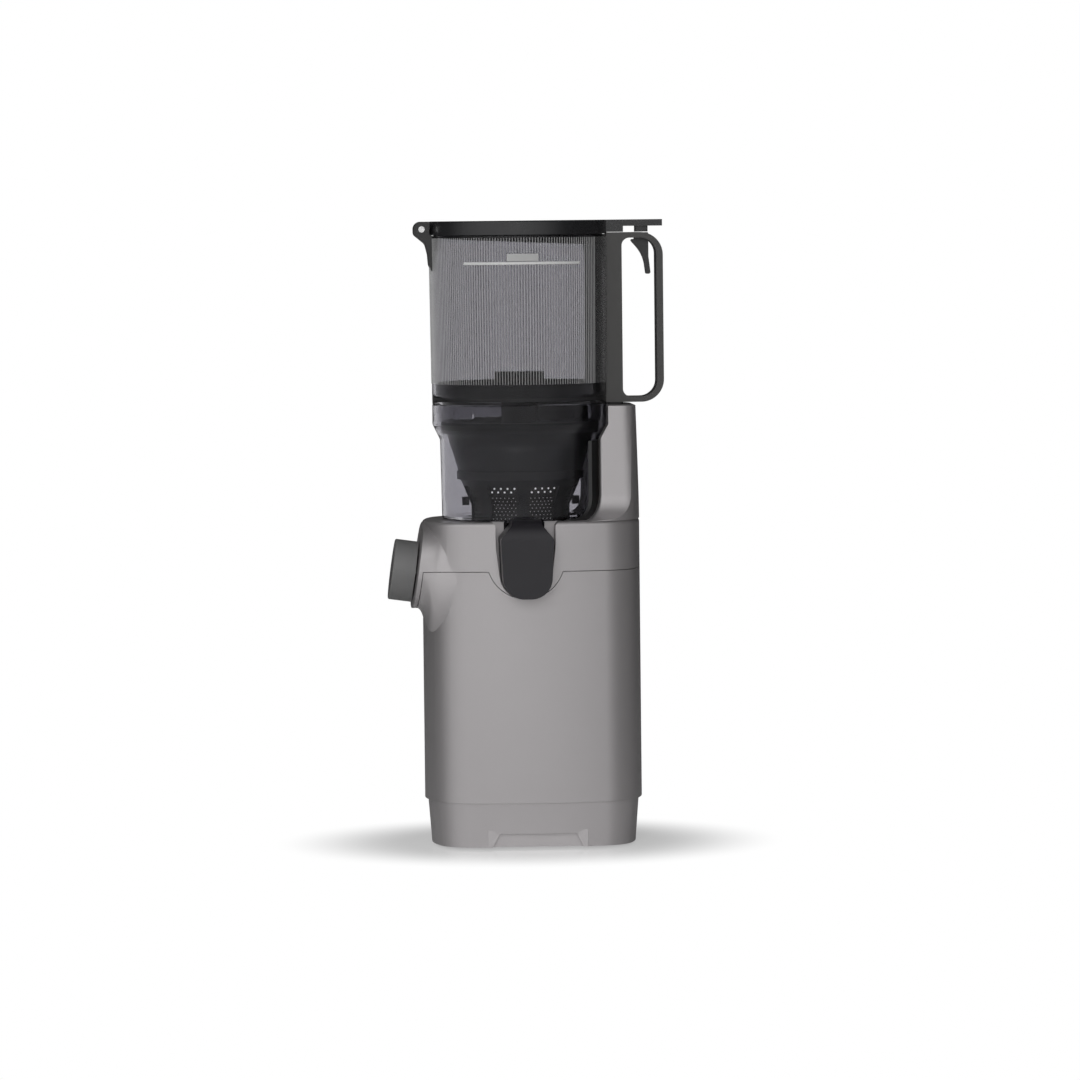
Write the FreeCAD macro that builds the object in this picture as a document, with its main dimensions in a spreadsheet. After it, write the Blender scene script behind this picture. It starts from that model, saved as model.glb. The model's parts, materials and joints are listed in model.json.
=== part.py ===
import FreeCAD, Part
import math
import os
import re

import Sketcher
from FreeCAD import Placement, Rotation, Vector

# A tall self-feeding cold press juicer, in millimetres, +Z up.
#
# The motor and its planetary gearbox stand in an oval body. A clear juicing
# bowl sits on the deck of the body and leans against a rear tower. Inside it
# an auger presses fruit against a perforated strainer; juice and pulp leave
# through two hooded spouts that hang in U-shaped notches at the sides. A wide
# hopper with a D handle and a hinged lid twists onto the bowl. The control
# knob is on a short neck at the front.
#
# The front (knob, lid hinge) is at -X and the back (tower, handle) at +X.
# Sketches are drawn about the vertical drive axis, and every finished piece
# is then moved so that the origin is under the middle of the whole juicer.

SIZES = {
    # Heights of the stack, from the table up
    "foot_h": 1.5,
    "skirt_h": 34.5,
    "casing_h": 177,
    "cover_h": 38,
    "bowl_h": 89,
    "hopper_h": 130,
    "lid_h": 11,
    # Plan of the body, an oval of eight tangent arcs
    "body_l": 168,
    "body_w": 136,
    "body_shift": 7.5,
    "side_r": 240,
    "end_r": 130,
    "corner_r": 34,
    "wall": 2.8,
    "deck_round": 3,
    "seam_gap": 0.5,
    # Foot ring, with a finger grip on each side
    "skirt_inset": 2.4,
    "skirt_draft": 2.7,
    "ledge_w": 6,
    "grip_w": 71,
    "grip_slope": 6,
    "grip_h": 10.7,
    "grip_depth": 7,
    "plate_z": 3,
    "plate_t": 3,
    "plate_gap": 0.3,
    "pad_d": 16,
    "pad_in_x": 31,
    "pad_in_y": 34,
    "screw_in_x": 21.5,
    "screw_in_y": 25,
    "screw_d": 3.2,
    "screw_head_d": 6.5,
    "screw_head_h": 1.2,
    "screw_l": 12,
    "vent_l": 34,
    "vent_w": 3,
    "vent_pitch": 8,
    # Neck that carries the knob
    "neck_front": 80.9,
    "neck_w": 112,
    "neck_h": 67,
    "neck_low": 35,
    "neck_tilt": 8,
    "neck_side_r": 150,
    "neck_end_r": 90,
    "neck_corner_r": 25,
    "neck_flare": 31,
    "neck_widen": 4,
    "neck_drop": 23,
    "bezel_t": 3.5,
    # Knob and its switch
    "knob_d": 47,
    "knob_t": 17.8,
    "knob_gap": 1.3,
    "knob_low": 40.5,
    "knob_wall": 2.4,
    "knob_round": 1.2,
    "knob_cap_r": 19,
    "knob_cap_t": 0.8,
    "pointer_w": 2.2,
    "knob_shaft_d": 6,
    "knob_shaft_l": 16,
    "switch_side": 28,
    "switch_depth": 15,
    "switch_gap": 0.2,
    "switch_bush_r": 5,
    # Notches in the sides of the body
    "notch_w": 45.8,
    "notch_low_w": 36,
    "notch_drop": 58.6,
    "notch_knee": 19,
    "notch_corner_r": 4,
    "notch_in": 0.5,
    "notch_ring_r": 30,
    "well_room": 2,
    "well_depth": 12,
    # Rear tower
    "tower_w": 94,
    "tower_hug": 2.8,
    "tower_step_in": 2,
    "tower_in": 0.3,
    "tower_lean": 3.7,
    "tower_corner_r": 13,
    "tower_flare": 20,
    "tower_top_gap": 1.5,
    "cradle_t": 2.2,
    "cradle_w": 73,
    "cradle_flare": 17,
    "cradle_gap": 0.5,
    # Juicing bowl
    "bowl_r": 61.8,
    "bowl_taper": 1,
    "bowl_wall": 2.6,
    "bowl_seat_gap": 0.3,
    "collar_r": 67.5,
    "collar_h": 15.5,
    "collar_slope": 11.8,
    "collar_gap": 1.2,
    "sump_r": 48,
    "hub_r": 12.5,
    "hub_h": 12,
    "hub_bore_r": 9.6,
    "sump_window_w": 18,
    # Spouts
    "spout_w": 40.5,
    "spout_low_w": 36,
    "spout_neck_w": 23,
    "pulp_neck_w": 29,
    "spout_drop": 57.1,
    "spout_out": 28,
    "spout_room": 6,
    "spout_wall": 2.2,
    "spout_rise": 2.6,
    "spout_brow_r": 15,
    "spout_shoulder": 11.5,
    "spout_neck_drop": 1,
    "spout_corner_r": 16,
    "duct_h": 10.7,
    # Strainer
    "strainer_r": 38,
    "strainer_mid_r": 47.4,
    "strainer_top_r": 57,
    "strainer_wall": 1.8,
    "strainer_foot_h": 20,
    "strainer_mid_h": 45.6,
    "strainer_h": 76.5,
    "strainer_ring_r": 48.8,
    "strainer_ring_h": 6.3,
    "strainer_lug_r": 45.3,
    "strainer_rim_r": 61,
    "strainer_rim_t": 2.4,
    "panel_count": 8,
    "panel_rib": 8.3,
    "panel_angle": 32,
    "panel_low": 4.1,
    "panel_h": 31,
    "screen_t": 0.5,
    "screen_gap": 0.2,
    # Auger and its feeding wing
    "auger_r": 33,
    "auger_top_r": 40,
    "auger_core_r": 26,
    "auger_core_top_r": 14.2,
    "auger_h": 82,
    "auger_turns": 2.25,
    "auger_flight": 95,
    "auger_gap": 1.4,
    "head_r": 14,
    "head_h": 29,
    "head_cap_h": 10,
    "head_cap_l": 38,
    "head_cap_w": 20,
    "wing_r": 53,
    "wing_h": 13,
    "wing_t": 5,
    "auger_steps": 27,
    "hex_af": 12,
    "hex_gap": 0.1,
    "hex_l": 27,
    # Hopper
    "hopper_r": 68.6,
    "hopper_low_r": 67.4,
    "hopper_wall": 2.5,
    "hopper_skirt_h": 13.5,
    "lug_count": 4,
    "lug_w": 17,
    "lug_h": 3.2,
    "lug_out": 1.8,
    "lug_gap": 0.3,
    "rim_seal_r": 60.8,
    # Handle on the hopper
    "handle_out": 0.6,
    "handle_spine": 11.5,
    "handle_reach": 111.3,
    "handle_bar": 5.2,
    "handle_top_bar": 4.3,
    "handle_w": 24,
    "handle_top_gap": 9.8,
    "handle_r": 17.5,
    "handle_inner_r": 6,
    "handle_slot_w": 11,
    # Release lever in the handle
    "lever_in": 16,
    "lever_pin_drop": 2.3,
    "lever_w": 10.8,
    "lever_t": 10,
    "lever_l": 32.3,
    "lever_head_h": 5,
    "lever_finger_t": 4,
    "lever_catch": 3.4,
    "lever_finger_h": 13.5,
    "lever_sweep": 1.6,
    "lever_tip_w": 3.6,
    "lever_pin_d": 2.4,
    # Lid and its hinge
    "lid_wall": 2.5,
    "lid_t": 3,
    "tongue_gap": 0.4,
    "lid_gap": 0.3,
    "lid_tab_short": 0.4,
    "lid_tab_t": 5,
    "lid_tab_w": 24,
    "lid_step_l": 1.2,
    "lid_skirt_gap": 1,
    "lid_skirt_t": 2,
    "lid_skirt_front": 2.5,
    "lid_skirt_back": 8.5,
    "hinge_out": 6.2,
    "hinge_rise": 5,
    "hinge_knuckle_r": 5.9,
    "hinge_leaf_h": 32.3,
    "hinge_leaf_t": 1.2,
    "hinge_neck_h": 11.5,
    "hinge_neck_t": 3.2,
    "hinge_pin_d": 4.8,
    "hinge_w": 30,
    "hinge_slot": 13.6,
    "hinge_gap": 0.3,
    "pin_clearance": 0.05,
    # Motor
    "motor_r": 52,
    "motor_bore_r": 29,
    "motor_air_gap": 0.5,
    "stator_h": 56,
    "coil_h": 4,
    "rim_h": 5,
    "rim_w": 6,
    "bracket_t": 3,
    "bearing_hub_w": 4,
    "rotor_shaft_d": 8,
    "bearing_d": 22,
    "bearing_t": 7,
    "fan_r": 34,
    "fan_h": 12,
    "fan_blades": 9,
    "fan_gap": 4,
    "fan_t": 1.6,
    "pillar_d": 9,
    "pillar_x": 32.5,
    "pillar_y": 32.5,
    # Planetary gearbox
    "gearbox_r": 43,
    "gearbox_wall": 3,
    "gearbox_floor": 4,
    "gearbox_lid_t": 4,
    "gearbox_bay": 28,
    "gear_step": 4,
    "gear_w": 14,
    "gear_play": 1.5,
    "gear_module": 1.15,
    "gear_tip": 0.9,
    "gear_backlash": 0.34,
    "sun_teeth": 12,
    "planet_teeth": 24,
    "carrier_t": 7,
    "carrier_r": 33,
    "planet_pin_d": 8,
    "output_d": 18,
    "output_bearing_d": 38,
    "output_bearing_t": 10,
    "output_hub_h": 18,
    "seal_r": 13.2,
    "seal_h": 8,
    # Electrics
    "board_l": 48,
    "board_w": 52,
    "board_t": 1.6,
    "board_post_h": 8,
    "board_post_d": 6,
    "capacitor_d": 14,
    "capacitor_h": 16,
    "interlock_l": 12,
    "interlock_w": 20,
    "interlock_h": 14,
    "gland_rise": 26,
    "gland_turn": 13.3,
    "gland_bore_d": 7.2,
    "gland_d": 12.4,
    "gland_flange_d": 16,
    "gland_flange_t": 2,
    "gland_l": 14,
}

# Levels and reaches that several pieces share
RING_TOP = "(foot_h + skirt_h)"
SEAM = f"({RING_TOP} + casing_h)"
DECK = f"({SEAM} + cover_h)"
BOWL_TOP = f"({DECK} + bowl_h)"
MOUTH = f"({BOWL_TOP} + hopper_h)"
TOP = f"({MOUTH} + lid_h)"
PLATE_TOP = "(plate_z + plate_t)"
TOWER_TOP = f"({BOWL_TOP} - tower_top_gap)"
NOTCH_LOW = f"({DECK} - notch_drop)"
WELL = f"({DECK} - well_depth)"
UNDER_WELL = f"({WELL} - wall)"
RIM_LOW = f"({BOWL_TOP} - collar_h)"
SLOPE_LOW = f"({RIM_LOW} - collar_slope)"
BOWL_SEAT = f"({DECK} + bowl_seat_gap)"
SUMP_LOW = f"({WELL} + bowl_seat_gap)"
SUMP_FLOOR = f"({SUMP_LOW} + bowl_wall)"
GEAR_LID = f"({UNDER_WELL} - output_hub_h - gearbox_lid_t)"
GEAR_CHAMBER = "(gear_step + gear_w + carrier_t + 2 * gear_play)"
GEAR_FLOOR = f"({GEAR_LID} - {GEAR_CHAMBER})"
GEARS = f"({GEAR_FLOOR} + gear_step)"
BRACKET_TOP = f"({GEAR_FLOOR} - gearbox_floor - gearbox_bay)"
STATOR_TOP = f"({BRACKET_TOP} - bracket_t - rim_h)"
STATOR_LOW = f"({STATOR_TOP} - stator_h)"
CRADLE_LOW = f"({STATOR_LOW} - rim_h - bracket_t)"
BEARING_LIP = "(bearing_t - bracket_t)"
FAN_LOW = f"({CRADLE_LOW} - {BEARING_LIP} - fan_gap - fan_h)"
SUN_PITCH = "(gear_module * sun_teeth / 2)"
PLANET_PITCH = "(gear_module * planet_teeth / 2)"
PLANET_X = f"({SUN_PITCH} + {PLANET_PITCH})"
AUGER_LOW = f"({SUMP_FLOOR} + auger_gap)"
AUGER_TOP = f"({AUGER_LOW} + auger_h)"
HANDLE_TOP = f"({TOP} - handle_top_gap)"
GRIP_SIDE = "(body_w / 2 - skirt_inset - skirt_draft)"
GRIP_BACK = f"({GRIP_SIDE} - grip_depth)"
BEZEL_X = "(neck_front + (neck_z - knob_z) * tan(neck_tilt))"
KNOB_REACH = f"({BEZEL_X} + (knob_gap + knob_t) * cos(neck_tilt) + knob_d / 2 * sin(neck_tilt))"
AXIS_X = f"(({KNOB_REACH} - handle_reach) / 2)"

# Places that follow from the sizes of the pieces around them
PLACES = {
    "neck_z": f"({DECK} - neck_low)",
    "knob_z": f"({DECK} - knob_low)",
    "notch_floor": "(sump_r - notch_in)",
    "well_r": "(sump_r + well_room)",
    "tower_front": "(bowl_r - tower_hug)",
    "tower_head": "(collar_r - tower_step_in)",
    "tower_back": "(body_l / 2 + body_shift - tower_in)",
    "spout_reach": "(body_w / 2 + spout_out)",
    "spout_back": "(sump_r + spout_room)",
    "hopper_skirt_r": "(collar_r - bowl_wall - lug_out - lug_gap)",
    "handle_in": "(hopper_low_r + handle_out)",
    "lever_x": "(handle_reach - lever_in)",
    "lever_z": f"({HANDLE_TOP} - lever_pin_drop)",
    "lever_tip_z": f"({HANDLE_TOP} - lever_l)",
    "lid_tab_reach": "(handle_reach - lid_tab_short)",
    "lid_step_out": "(handle_in + handle_spine + lid_step_l)",
    "hinge_x": "(hopper_r + hinge_out)",
    "hinge_z": f"({MOUTH} + hinge_rise)",
    "gland_z": f"({RING_TOP} + gland_rise)",
    "pad_x": "(body_l / 2 - pad_in_x)",
    "pad_y": "(body_w / 2 - pad_in_y)",
    "screw_x": "(body_l / 2 - screw_in_x)",
    "screw_y": "(body_w / 2 - screw_in_y)",
}

doc = FreeCAD.newDocument("ColdPressJuicer")
sheet = doc.addObject("Spreadsheet::Sheet", "Dims")
for row, (alias, number) in enumerate(SIZES.items(), start=1):
    sheet.set(f"A{row}", str(number))
    sheet.setAlias(f"A{row}", alias)
doc.recompute()

PARTS = []


def full(text):
    """The text as an expression that names the sheet's cells."""
    def cell(word):
        name = word[0]
        if name in PLACES:
            return full(PLACES[name])
        return "Dims." + name if name in SIZES else name
    return re.sub(r"[a-z][a-z_]*", cell, str(text))


def value(text):
    return float(sheet.evalExpression(full(text)))


def keep(label, piece, x="0", y="0", z="0", tip=None):
    """Names a finished piece and moves it from the drive axis to the juicer's own frame."""
    piece.Label = label
    if tip is not None:
        piece.Placement = Placement(Vector(), Rotation(tip[0], value(tip[1])))
        piece.setExpression("Placement.Rotation.Angle", full(tip[1]))
    piece.setExpression("Placement.Base.x", full(f"{AXIS_X} + {x}"))
    piece.setExpression("Placement.Base.y", full(y))
    piece.setExpression("Placement.Base.z", full(z))
    PARTS.append(piece)
    return piece


# Drawing helpers: every number in a sketch is bound to the sheet


def new_body(label):
    return doc.addObject("PartDesign::Body", label)


def origin_of(body, role):
    for feature in body.Origin.OriginFeatures:
        if feature.Role == role:
            return feature
    raise ValueError(role)


def sketch_on(body, role, lift="0", shift="0", raise_by="0", lean=None):
    """A sketch on one of the body's origin planes, lifted off it and shifted in it."""
    sketch = body.newObject("Sketcher::SketchObject", body.Name + "_sketch")
    sketch.AttachmentSupport = [(origin_of(body, role), "")]
    sketch.MapMode = "FlatFace"
    if lean is not None:
        sketch.AttachmentOffset = Placement(Vector(), Rotation(Vector(1, 0, 0), value(lean)))
        sketch.setExpression("AttachmentOffset.Rotation.Angle", full(lean))
    for axis, text in (("x", shift), ("y", raise_by), ("z", lift)):
        if text != "0":
            sketch.setExpression(f"AttachmentOffset.Base.{axis}", full(text))
    return sketch


def constrain(sketch, rules):
    """Adds constraints (kind, places) or (kind, places, text), whose number follows the sheet."""
    made = []
    for kind, places, *text in rules:
        made.append(Sketcher.Constraint(kind, *places, *(value(item) for item in text)))
    for index, (_, _, *text) in zip(sketch.addConstraint(made), rules):
        if text:
            sketch.setExpression(f"Constraints[{index}]", full(text[0]))


def at_point(geometry, end, x, y):
    return [("DistanceX", (geometry, end), x), ("DistanceY", (geometry, end), y)]


def circle(sketch, radius, x="0", y="0"):
    shape = Part.Circle(Vector(value(x), value(y), 0), Vector(0, 0, 1), value(radius))
    index = sketch.addGeometry(shape)
    constrain(sketch, at_point(index, 3, x, y) + [("Radius", (index,), radius)])


def rounding(before, corner, after, radius):
    """Where a corner's arc leaves its two lines, and the arc between them."""
    to_before = (before - corner).normalize()
    to_after = (after - corner).normalize()
    half = to_before.getAngle(to_after) / 2
    reach = radius / math.tan(half)
    bisector = (to_before + to_after).normalize()
    centre = corner + bisector * (radius / math.sin(half))
    start = corner + to_before * reach
    stop = corner + to_after * reach
    turns_left = (corner - before).cross(after - corner).z > 0
    first, last = (start, stop) if turns_left else (stop, start)
    angles = [math.atan2(point.y - centre.y, point.x - centre.x) for point in (first, last)]
    if angles[1] < angles[0]:
        angles[1] += 2 * math.pi
    arc = Part.ArcOfCircle(Part.Circle(centre, Vector(0, 0, 1), radius), *angles)
    return start, stop, arc, (1, 2) if turns_left else (2, 1)


def outline(sketch, corners):
    """A closed outline through the corners (x, y) or (x, y, rounding radius)."""
    points = [Vector(value(corner[0]), value(corner[1]), 0) for corner in corners]
    count = len(corners)
    starts = list(points)
    stops = list(points)
    arcs = {}
    for i, corner in enumerate(corners):
        if len(corner) > 2:
            starts[i], stops[i], arc, ends = rounding(
                points[i - 1], points[i], points[(i + 1) % count], value(corner[2]))
            arcs[i] = (sketch.addGeometry(arc), ends)
    lines = []
    for i in range(count):
        lines.append(sketch.addGeometry(Part.LineSegment(stops[i], starts[(i + 1) % count])))
    rules = []
    for i, corner in enumerate(corners):
        before = lines[i - 1]
        after = lines[i]
        if i in arcs:
            arc, (enter, leave) = arcs[i]
            mark = sketch.addGeometry(Part.Point(points[i]), True)
            rules += [("Tangent", (before, 2, arc, enter)), ("Tangent", (arc, leave, after, 1)),
                      ("PointOnObject", (mark, 1, before)), ("PointOnObject", (mark, 1, after)),
                      ("Radius", (arc,), corner[2])] + at_point(mark, 1, corner[0], corner[1])
        else:
            rules += [("Coincident", (before, 2, after, 1))] + at_point(after, 1, corner[0], corner[1])
    constrain(sketch, rules)


def box_outline(sketch, x0, y0, x1, y1, radius=None):
    ends = () if radius is None else (radius,)
    outline(sketch, [(x0, y0, *ends), (x1, y0, *ends), (x1, y1, *ends), (x0, y1, *ends)])


def oval(sketch, half_x, half_y, side, end, corner, grow="0", x="0", y="0"):
    """An oval of eight tangent arcs, which grows evenly and keeps its arcs' centres."""
    a, b, r_side, r_end, r_corner = (value(f"{text} + ({grow})") for text in (half_x, half_y, side, end, corner))
    middle = Vector(value(x), value(y), 0)
    drop = r_side - b
    back = r_end - a
    reach_side = r_side - r_corner
    reach_end = r_end - r_corner
    k0 = (reach_side ** 2 - reach_end ** 2 - drop ** 2 + back ** 2) / (2 * drop)
    k1 = back / drop
    half_b = back + k0 * k1
    square = 1 + k1 ** 2
    corner_x = (-half_b + math.sqrt(half_b ** 2 - square * (back ** 2 + k0 ** 2 - reach_end ** 2))) / square
    corner_y = k0 + k1 * corner_x
    low = math.atan2(corner_y, corner_x + back)
    high = math.atan2(corner_y + drop, corner_x)
    turn = math.pi
    arcs = [
        (-back, 0, r_end, -low, low, end),
        (corner_x, corner_y, r_corner, low, high, corner),
        (0, -drop, r_side, high, turn - high, side),
        (-corner_x, corner_y, r_corner, turn - high, turn - low, corner),
        (back, 0, r_end, turn - low, turn + low, end),
        (-corner_x, -corner_y, r_corner, turn + low, turn + high, corner),
        (0, drop, r_side, turn + high, 2 * turn - high, side),
        (corner_x, -corner_y, r_corner, 2 * turn - high, 2 * turn - low, corner),
    ]
    indices = []
    for centre_x, centre_y, radius, start, stop, _ in arcs:
        ring = Part.Circle(middle + Vector(centre_x, centre_y, 0), Vector(0, 0, 1), radius)
        indices.append(sketch.addGeometry(Part.ArcOfCircle(ring, start, stop)))
    rules = []
    for i, index in enumerate(indices):
        rules += [("Tangent", (index, 2, indices[(i + 1) % 8], 1)), ("Radius", (index,), f"{arcs[i][5]} + ({grow})")]
    rules += at_point(indices[0], 3, f"{x} + {half_x} - {end}", y)
    rules += at_point(indices[4], 3, f"{x} - {half_x} + {end}", y)
    rules += at_point(indices[2], 3, x, f"{y} + {half_y} - {side}")
    rules += at_point(indices[6], 3, x, f"{y} - {half_y} + {side}")
    constrain(sketch, rules)


def body_oval(sketch, grow="0"):
    oval(sketch, "body_l / 2", "body_w / 2", "side_r", "end_r", "corner_r", grow, "body_shift")


# Feature helpers


def add(body, kind, sketch):
    feature = body.newObject("PartDesign::" + kind, f"{body.Name}_{kind}")
    feature.Profile = sketch
    body.Tip = feature
    return feature


def pad(body, sketch, length, middle=False, flip=False):
    feature = add(body, "Pad", sketch)
    feature.SideType = "Symmetric" if middle else "One side"
    feature.Reversed = flip
    feature.setExpression("Length", full(length))
    return feature


def pocket(body, sketch, length, middle=False, flip=False):
    feature = add(body, "Pocket", sketch)
    feature.SideType = "Symmetric" if middle else "One side"
    feature.Reversed = flip
    feature.setExpression("Length", full(length))
    return feature


def turn_about(body, sketch, kind="Revolution", angle="360"):
    feature = add(body, kind, sketch)
    feature.ReferenceAxis = (sketch, ["V_Axis"])
    feature.Midplane = True
    feature.setExpression("Angle", full(angle))
    return feature


def loft(body, sketches, kind="AdditiveLoft", ruled=False):
    feature = add(body, kind, sketches[0])
    feature.Sections = sketches[1:]
    feature.Ruled = ruled
    return feature


def polar(body, features, count):
    feature = body.newObject("PartDesign::PolarPattern", body.Name + "_round")
    feature.Originals = features
    feature.Axis = (origin_of(body, "Z_Axis"), [""])
    feature.Angle = 360
    feature.setExpression("Occurrences", full(count))
    body.Tip = feature
    return feature


def mirrored(body, features, role):
    feature = body.newObject("PartDesign::Mirrored", body.Name + "_mirror")
    feature.Originals = features
    feature.MirrorPlane = (origin_of(body, role), [""])
    body.Tip = feature
    return feature


def round_edges(body, radius, choose):
    """Rounds the tip's edges that the test chooses."""
    doc.recompute()
    base = body.Tip
    names = [f"Edge{i}" for i, edge in enumerate(base.Shape.Edges, start=1) if choose(edge)]
    feature = body.newObject("PartDesign::Fillet", body.Name + "_edges")
    feature.Base = (base, names)
    feature.setExpression("Radius", full(radius))
    body.Tip = feature
    return feature


def turned(label, *sections):
    """A body turned about its own Z axis from half sections (x, z)."""
    body = new_body(label)
    for corners in sections:
        sketch = sketch_on(body, "XZ_Plane")
        outline(sketch, corners)
        turn_about(body, sketch)
    return body


def ring_section(inner, outer, low, high):
    return [(inner, low), (outer, low), (outer, high), (inner, high)]


def combine(kind, label, shapes):
    result = doc.addObject("Part::" + kind, label)
    result.Shapes = shapes
    return result


def cut(label, base, tool):
    result = doc.addObject("Part::Cut", label)
    result.Base = base
    result.Tool = tool
    return result


# Body shells


def hull_form(label, grow, low, high):
    """The upright oval of the body, larger or smaller by grow."""
    body = new_body(label)
    sketch = sketch_on(body, "XY_Plane", low)
    body_oval(sketch, grow)
    pad(body, sketch, f"{high} - {low}")
    return body


def neck_oval(body, inset, depth, widen, drop):
    """One section of the neck, leaning with the bezel, lower by drop and wider by widen."""
    sketch = sketch_on(body, "YZ_Plane", f"{depth} - neck_front", raise_by=f"neck_z - ({drop}) / 2", lean="neck_tilt")
    oval(sketch, f"(neck_w / 2 + {widen})", f"(neck_h / 2 + ({drop}) / 2)",
         "neck_side_r", "neck_end_r", "neck_corner_r", f"-({inset})")
    return sketch


# Share of the neck's depth, of its widening and of its drop, section by section
NECK_FLARE = [(0, 0, 0), (0.08, 0, 0.04), (0.16, 0.02, 0.2), (0.24, 0.06, 0.5), (0.34, 0.15, 0.86),
              (0.55, 0.5, 1), (1, 1, 1)]


def neck_form(label, inset, front):
    """The neck: a plate-like front, then a flare that runs down into the body's front."""
    body = new_body(label)
    sections = [neck_oval(body, inset, front, "0", "0")]
    for depth, widen, drop in NECK_FLARE:
        sections.append(neck_oval(body, inset, f"(bezel_t + {front} + neck_flare * {depth})",
                                  f"neck_widen * {widen}", f"neck_drop * {drop}"))
    loft(body, sections[:2], ruled=True)
    loft(body, sections[1:])
    return body


def tower_section(body, inset, height, flare):
    """One plan section of the tower: a rounded box, wider by flare near the deck."""
    rise = f"(({height}) - {DECK}) / ({TOWER_TOP} - {DECK})"
    back = f"tower_back - tower_lean * {rise} - ({inset})"
    front = f"tower_front - ({flare}) * 0.62 + ({inset})"
    half = f"(tower_w / 2 + ({flare}) - ({inset}))"
    sketch = sketch_on(body, "XY_Plane", height)
    radius = f"tower_corner_r - ({inset})"
    outline(sketch, [(front, f"-{half}", "2"), (back, f"-{half}", radius),
                     (back, half, radius), (front, half, "2")])
    return sketch


def tower_form(label, inset, low, high):
    """The tower's upright, on a foot that flares out to the edges of the deck."""
    body = new_body(label)
    foot = []
    for share in ("0", "0.08", "0.25", "0.5", "0.75", "1"):
        height = f"({DECK} + tower_flare * {share})"
        flare = f"(tower_flare * (1 - sqrt(1 - (1 - {share}) ^ 2)))"
        foot.append(tower_section(body, inset, height, flare))
    loft(body, foot)
    base = sketch_on(body, "XY_Plane", low)
    half = f"(tower_w / 2 - ({inset}))"
    box_outline(base, f"tower_front + ({inset})", f"-{half}", f"tower_back - tower_corner_r", half, "2")
    pad(body, base, f"{DECK} + 1 - {low}")
    upright = [tower_section(body, inset, f"({DECK} + tower_flare)", "0"), tower_section(body, inset, high, "0")]
    loft(body, upright, ruled=True)
    return body


def notch_tool(label, grow):
    """What the two side notches remove, with a wall of grow left round them."""
    side = f"(notch_w / 2 + ({grow}))"
    low_side = f"(notch_low_w / 2 + ({grow}))"
    low = f"({NOTCH_LOW} - ({grow}))"
    knee = f"({DECK} - notch_knee)"
    mouth = f"({side} + 2 * notch_corner_r)"
    top = f"({TOWER_TOP} + 5)"
    low_r = f"({low_side} * 1.04)"
    half = [(low_side, low, low_r), (side, knee, "60"), (side, DECK, "notch_corner_r"), (mouth, DECK), (mouth, top)]
    corners = half + [("-" + corner[0], *corner[1:]) for corner in reversed(half)]
    body = new_body(label)
    depth = "(body_w / 2 + 20 - notch_floor)"
    for side_sign, flip in (("-", False), ("", True)):
        # The sketch's normal is -Y, so the near notch is padded along it
        sketch = sketch_on(body, "XZ_Plane", f"(notch_floor - ({grow}))" if not flip else f"-(notch_floor - ({grow}))")
        outline(sketch, corners)
        pad(body, sketch, depth, flip=flip)
    return body


def bowl_space(label, grow):
    """The room for the bowl in the deck and the tower, with a wall of grow left round it."""
    well_side = f"(well_r + ({grow}))"
    low_r = f"(bowl_r + cradle_gap + cradle_t + ({grow}))"
    high_r = f"(collar_r + collar_gap + ({grow}))"
    deck = f"({DECK} - ({grow}))"
    shoulder = f"({SLOPE_LOW} - collar_gap - ({grow}))"
    above = f"({TOWER_TOP} + 5)"
    body = turned(label, [("0", f"{WELL} - ({grow})"), (well_side, f"{WELL} - ({grow})"), (well_side, deck),
                          (low_r, deck), (low_r, shoulder), (high_r, f"{shoulder} + collar_slope"),
                          (high_r, above), ("0", above)])
    # The tower steps back beside the bowl's collar, over its whole width
    step = f"({SLOPE_LOW} - ({grow}))"
    front = f"(tower_front + ({grow}))"
    head = f"(tower_head + ({grow}))"
    sketch = sketch_on(body, "XZ_Plane")
    outline(sketch, [("0", step), (front, step), (head, f"{step} + collar_slope"), (head, above), ("0", above)])
    pad(body, sketch, "1.2 * body_w", middle=True)
    return body


def shell_form(label, inset):
    """The whole outside of the body, or its inside when inset is the wall."""
    low = RING_TOP
    hull = hull_form(label + "_hull", f"-({inset})", low, f"({DECK} - ({inset}))")
    if inset == "0":
        round_edges(hull, "deck_round", lambda edge: edge.BoundBox.ZMin > value(DECK) - 0.01)
    neck = neck_form(label + "_neck", inset, "0" if inset == "0" else "bezel_t")
    floor = f"({DECK} - 5)" if inset == "0" else f"({DECK} - wall - 5)"
    tower = tower_form(label + "_tower", inset, floor, f"({TOWER_TOP} - ({inset}))")
    trim = hull_form(label + "_trim", f"-({inset})", floor, f"({TOWER_TOP} + 1)")
    tower_trimmed = combine("MultiCommon", label + "_tower_trimmed", [tower, trim])
    solid = combine("MultiFuse", label + "_solid", [hull, neck, tower_trimmed])
    notches = notch_tool(label + "_notches", inset)
    space = bowl_space(label + "_space", inset)
    opened = combine("MultiFuse", label + "_openings", [notches, space])
    return cut(label, solid, opened)


def casing_zone(label, grow):
    """Where the lower casing is: below the seam, but not round the notches or in the bezel."""
    seam = f"({SEAM} + ({grow}))"
    low = f"({RING_TOP} - 1)"
    far = "body_l"
    lean = f"-(neck_front - bezel_t / cos(neck_tilt) + ({grow})) - (neck_z - ({{}})) * tan(neck_tilt)"
    body = new_body(label)
    sketch = sketch_on(body, "XZ_Plane")
    outline(sketch, [(lean.format(low), low), (far, low), (far, seam), (lean.format(seam), seam)])
    pad(body, sketch, "2 * body_w", middle=True)
    ring = sketch_on(body, "XZ_Plane")
    circle(ring, f"notch_ring_r - ({grow})", "0", f"{NOTCH_LOW} + notch_ring_r")
    pocket(body, ring, "2 * body_w", middle=True)
    return body


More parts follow.
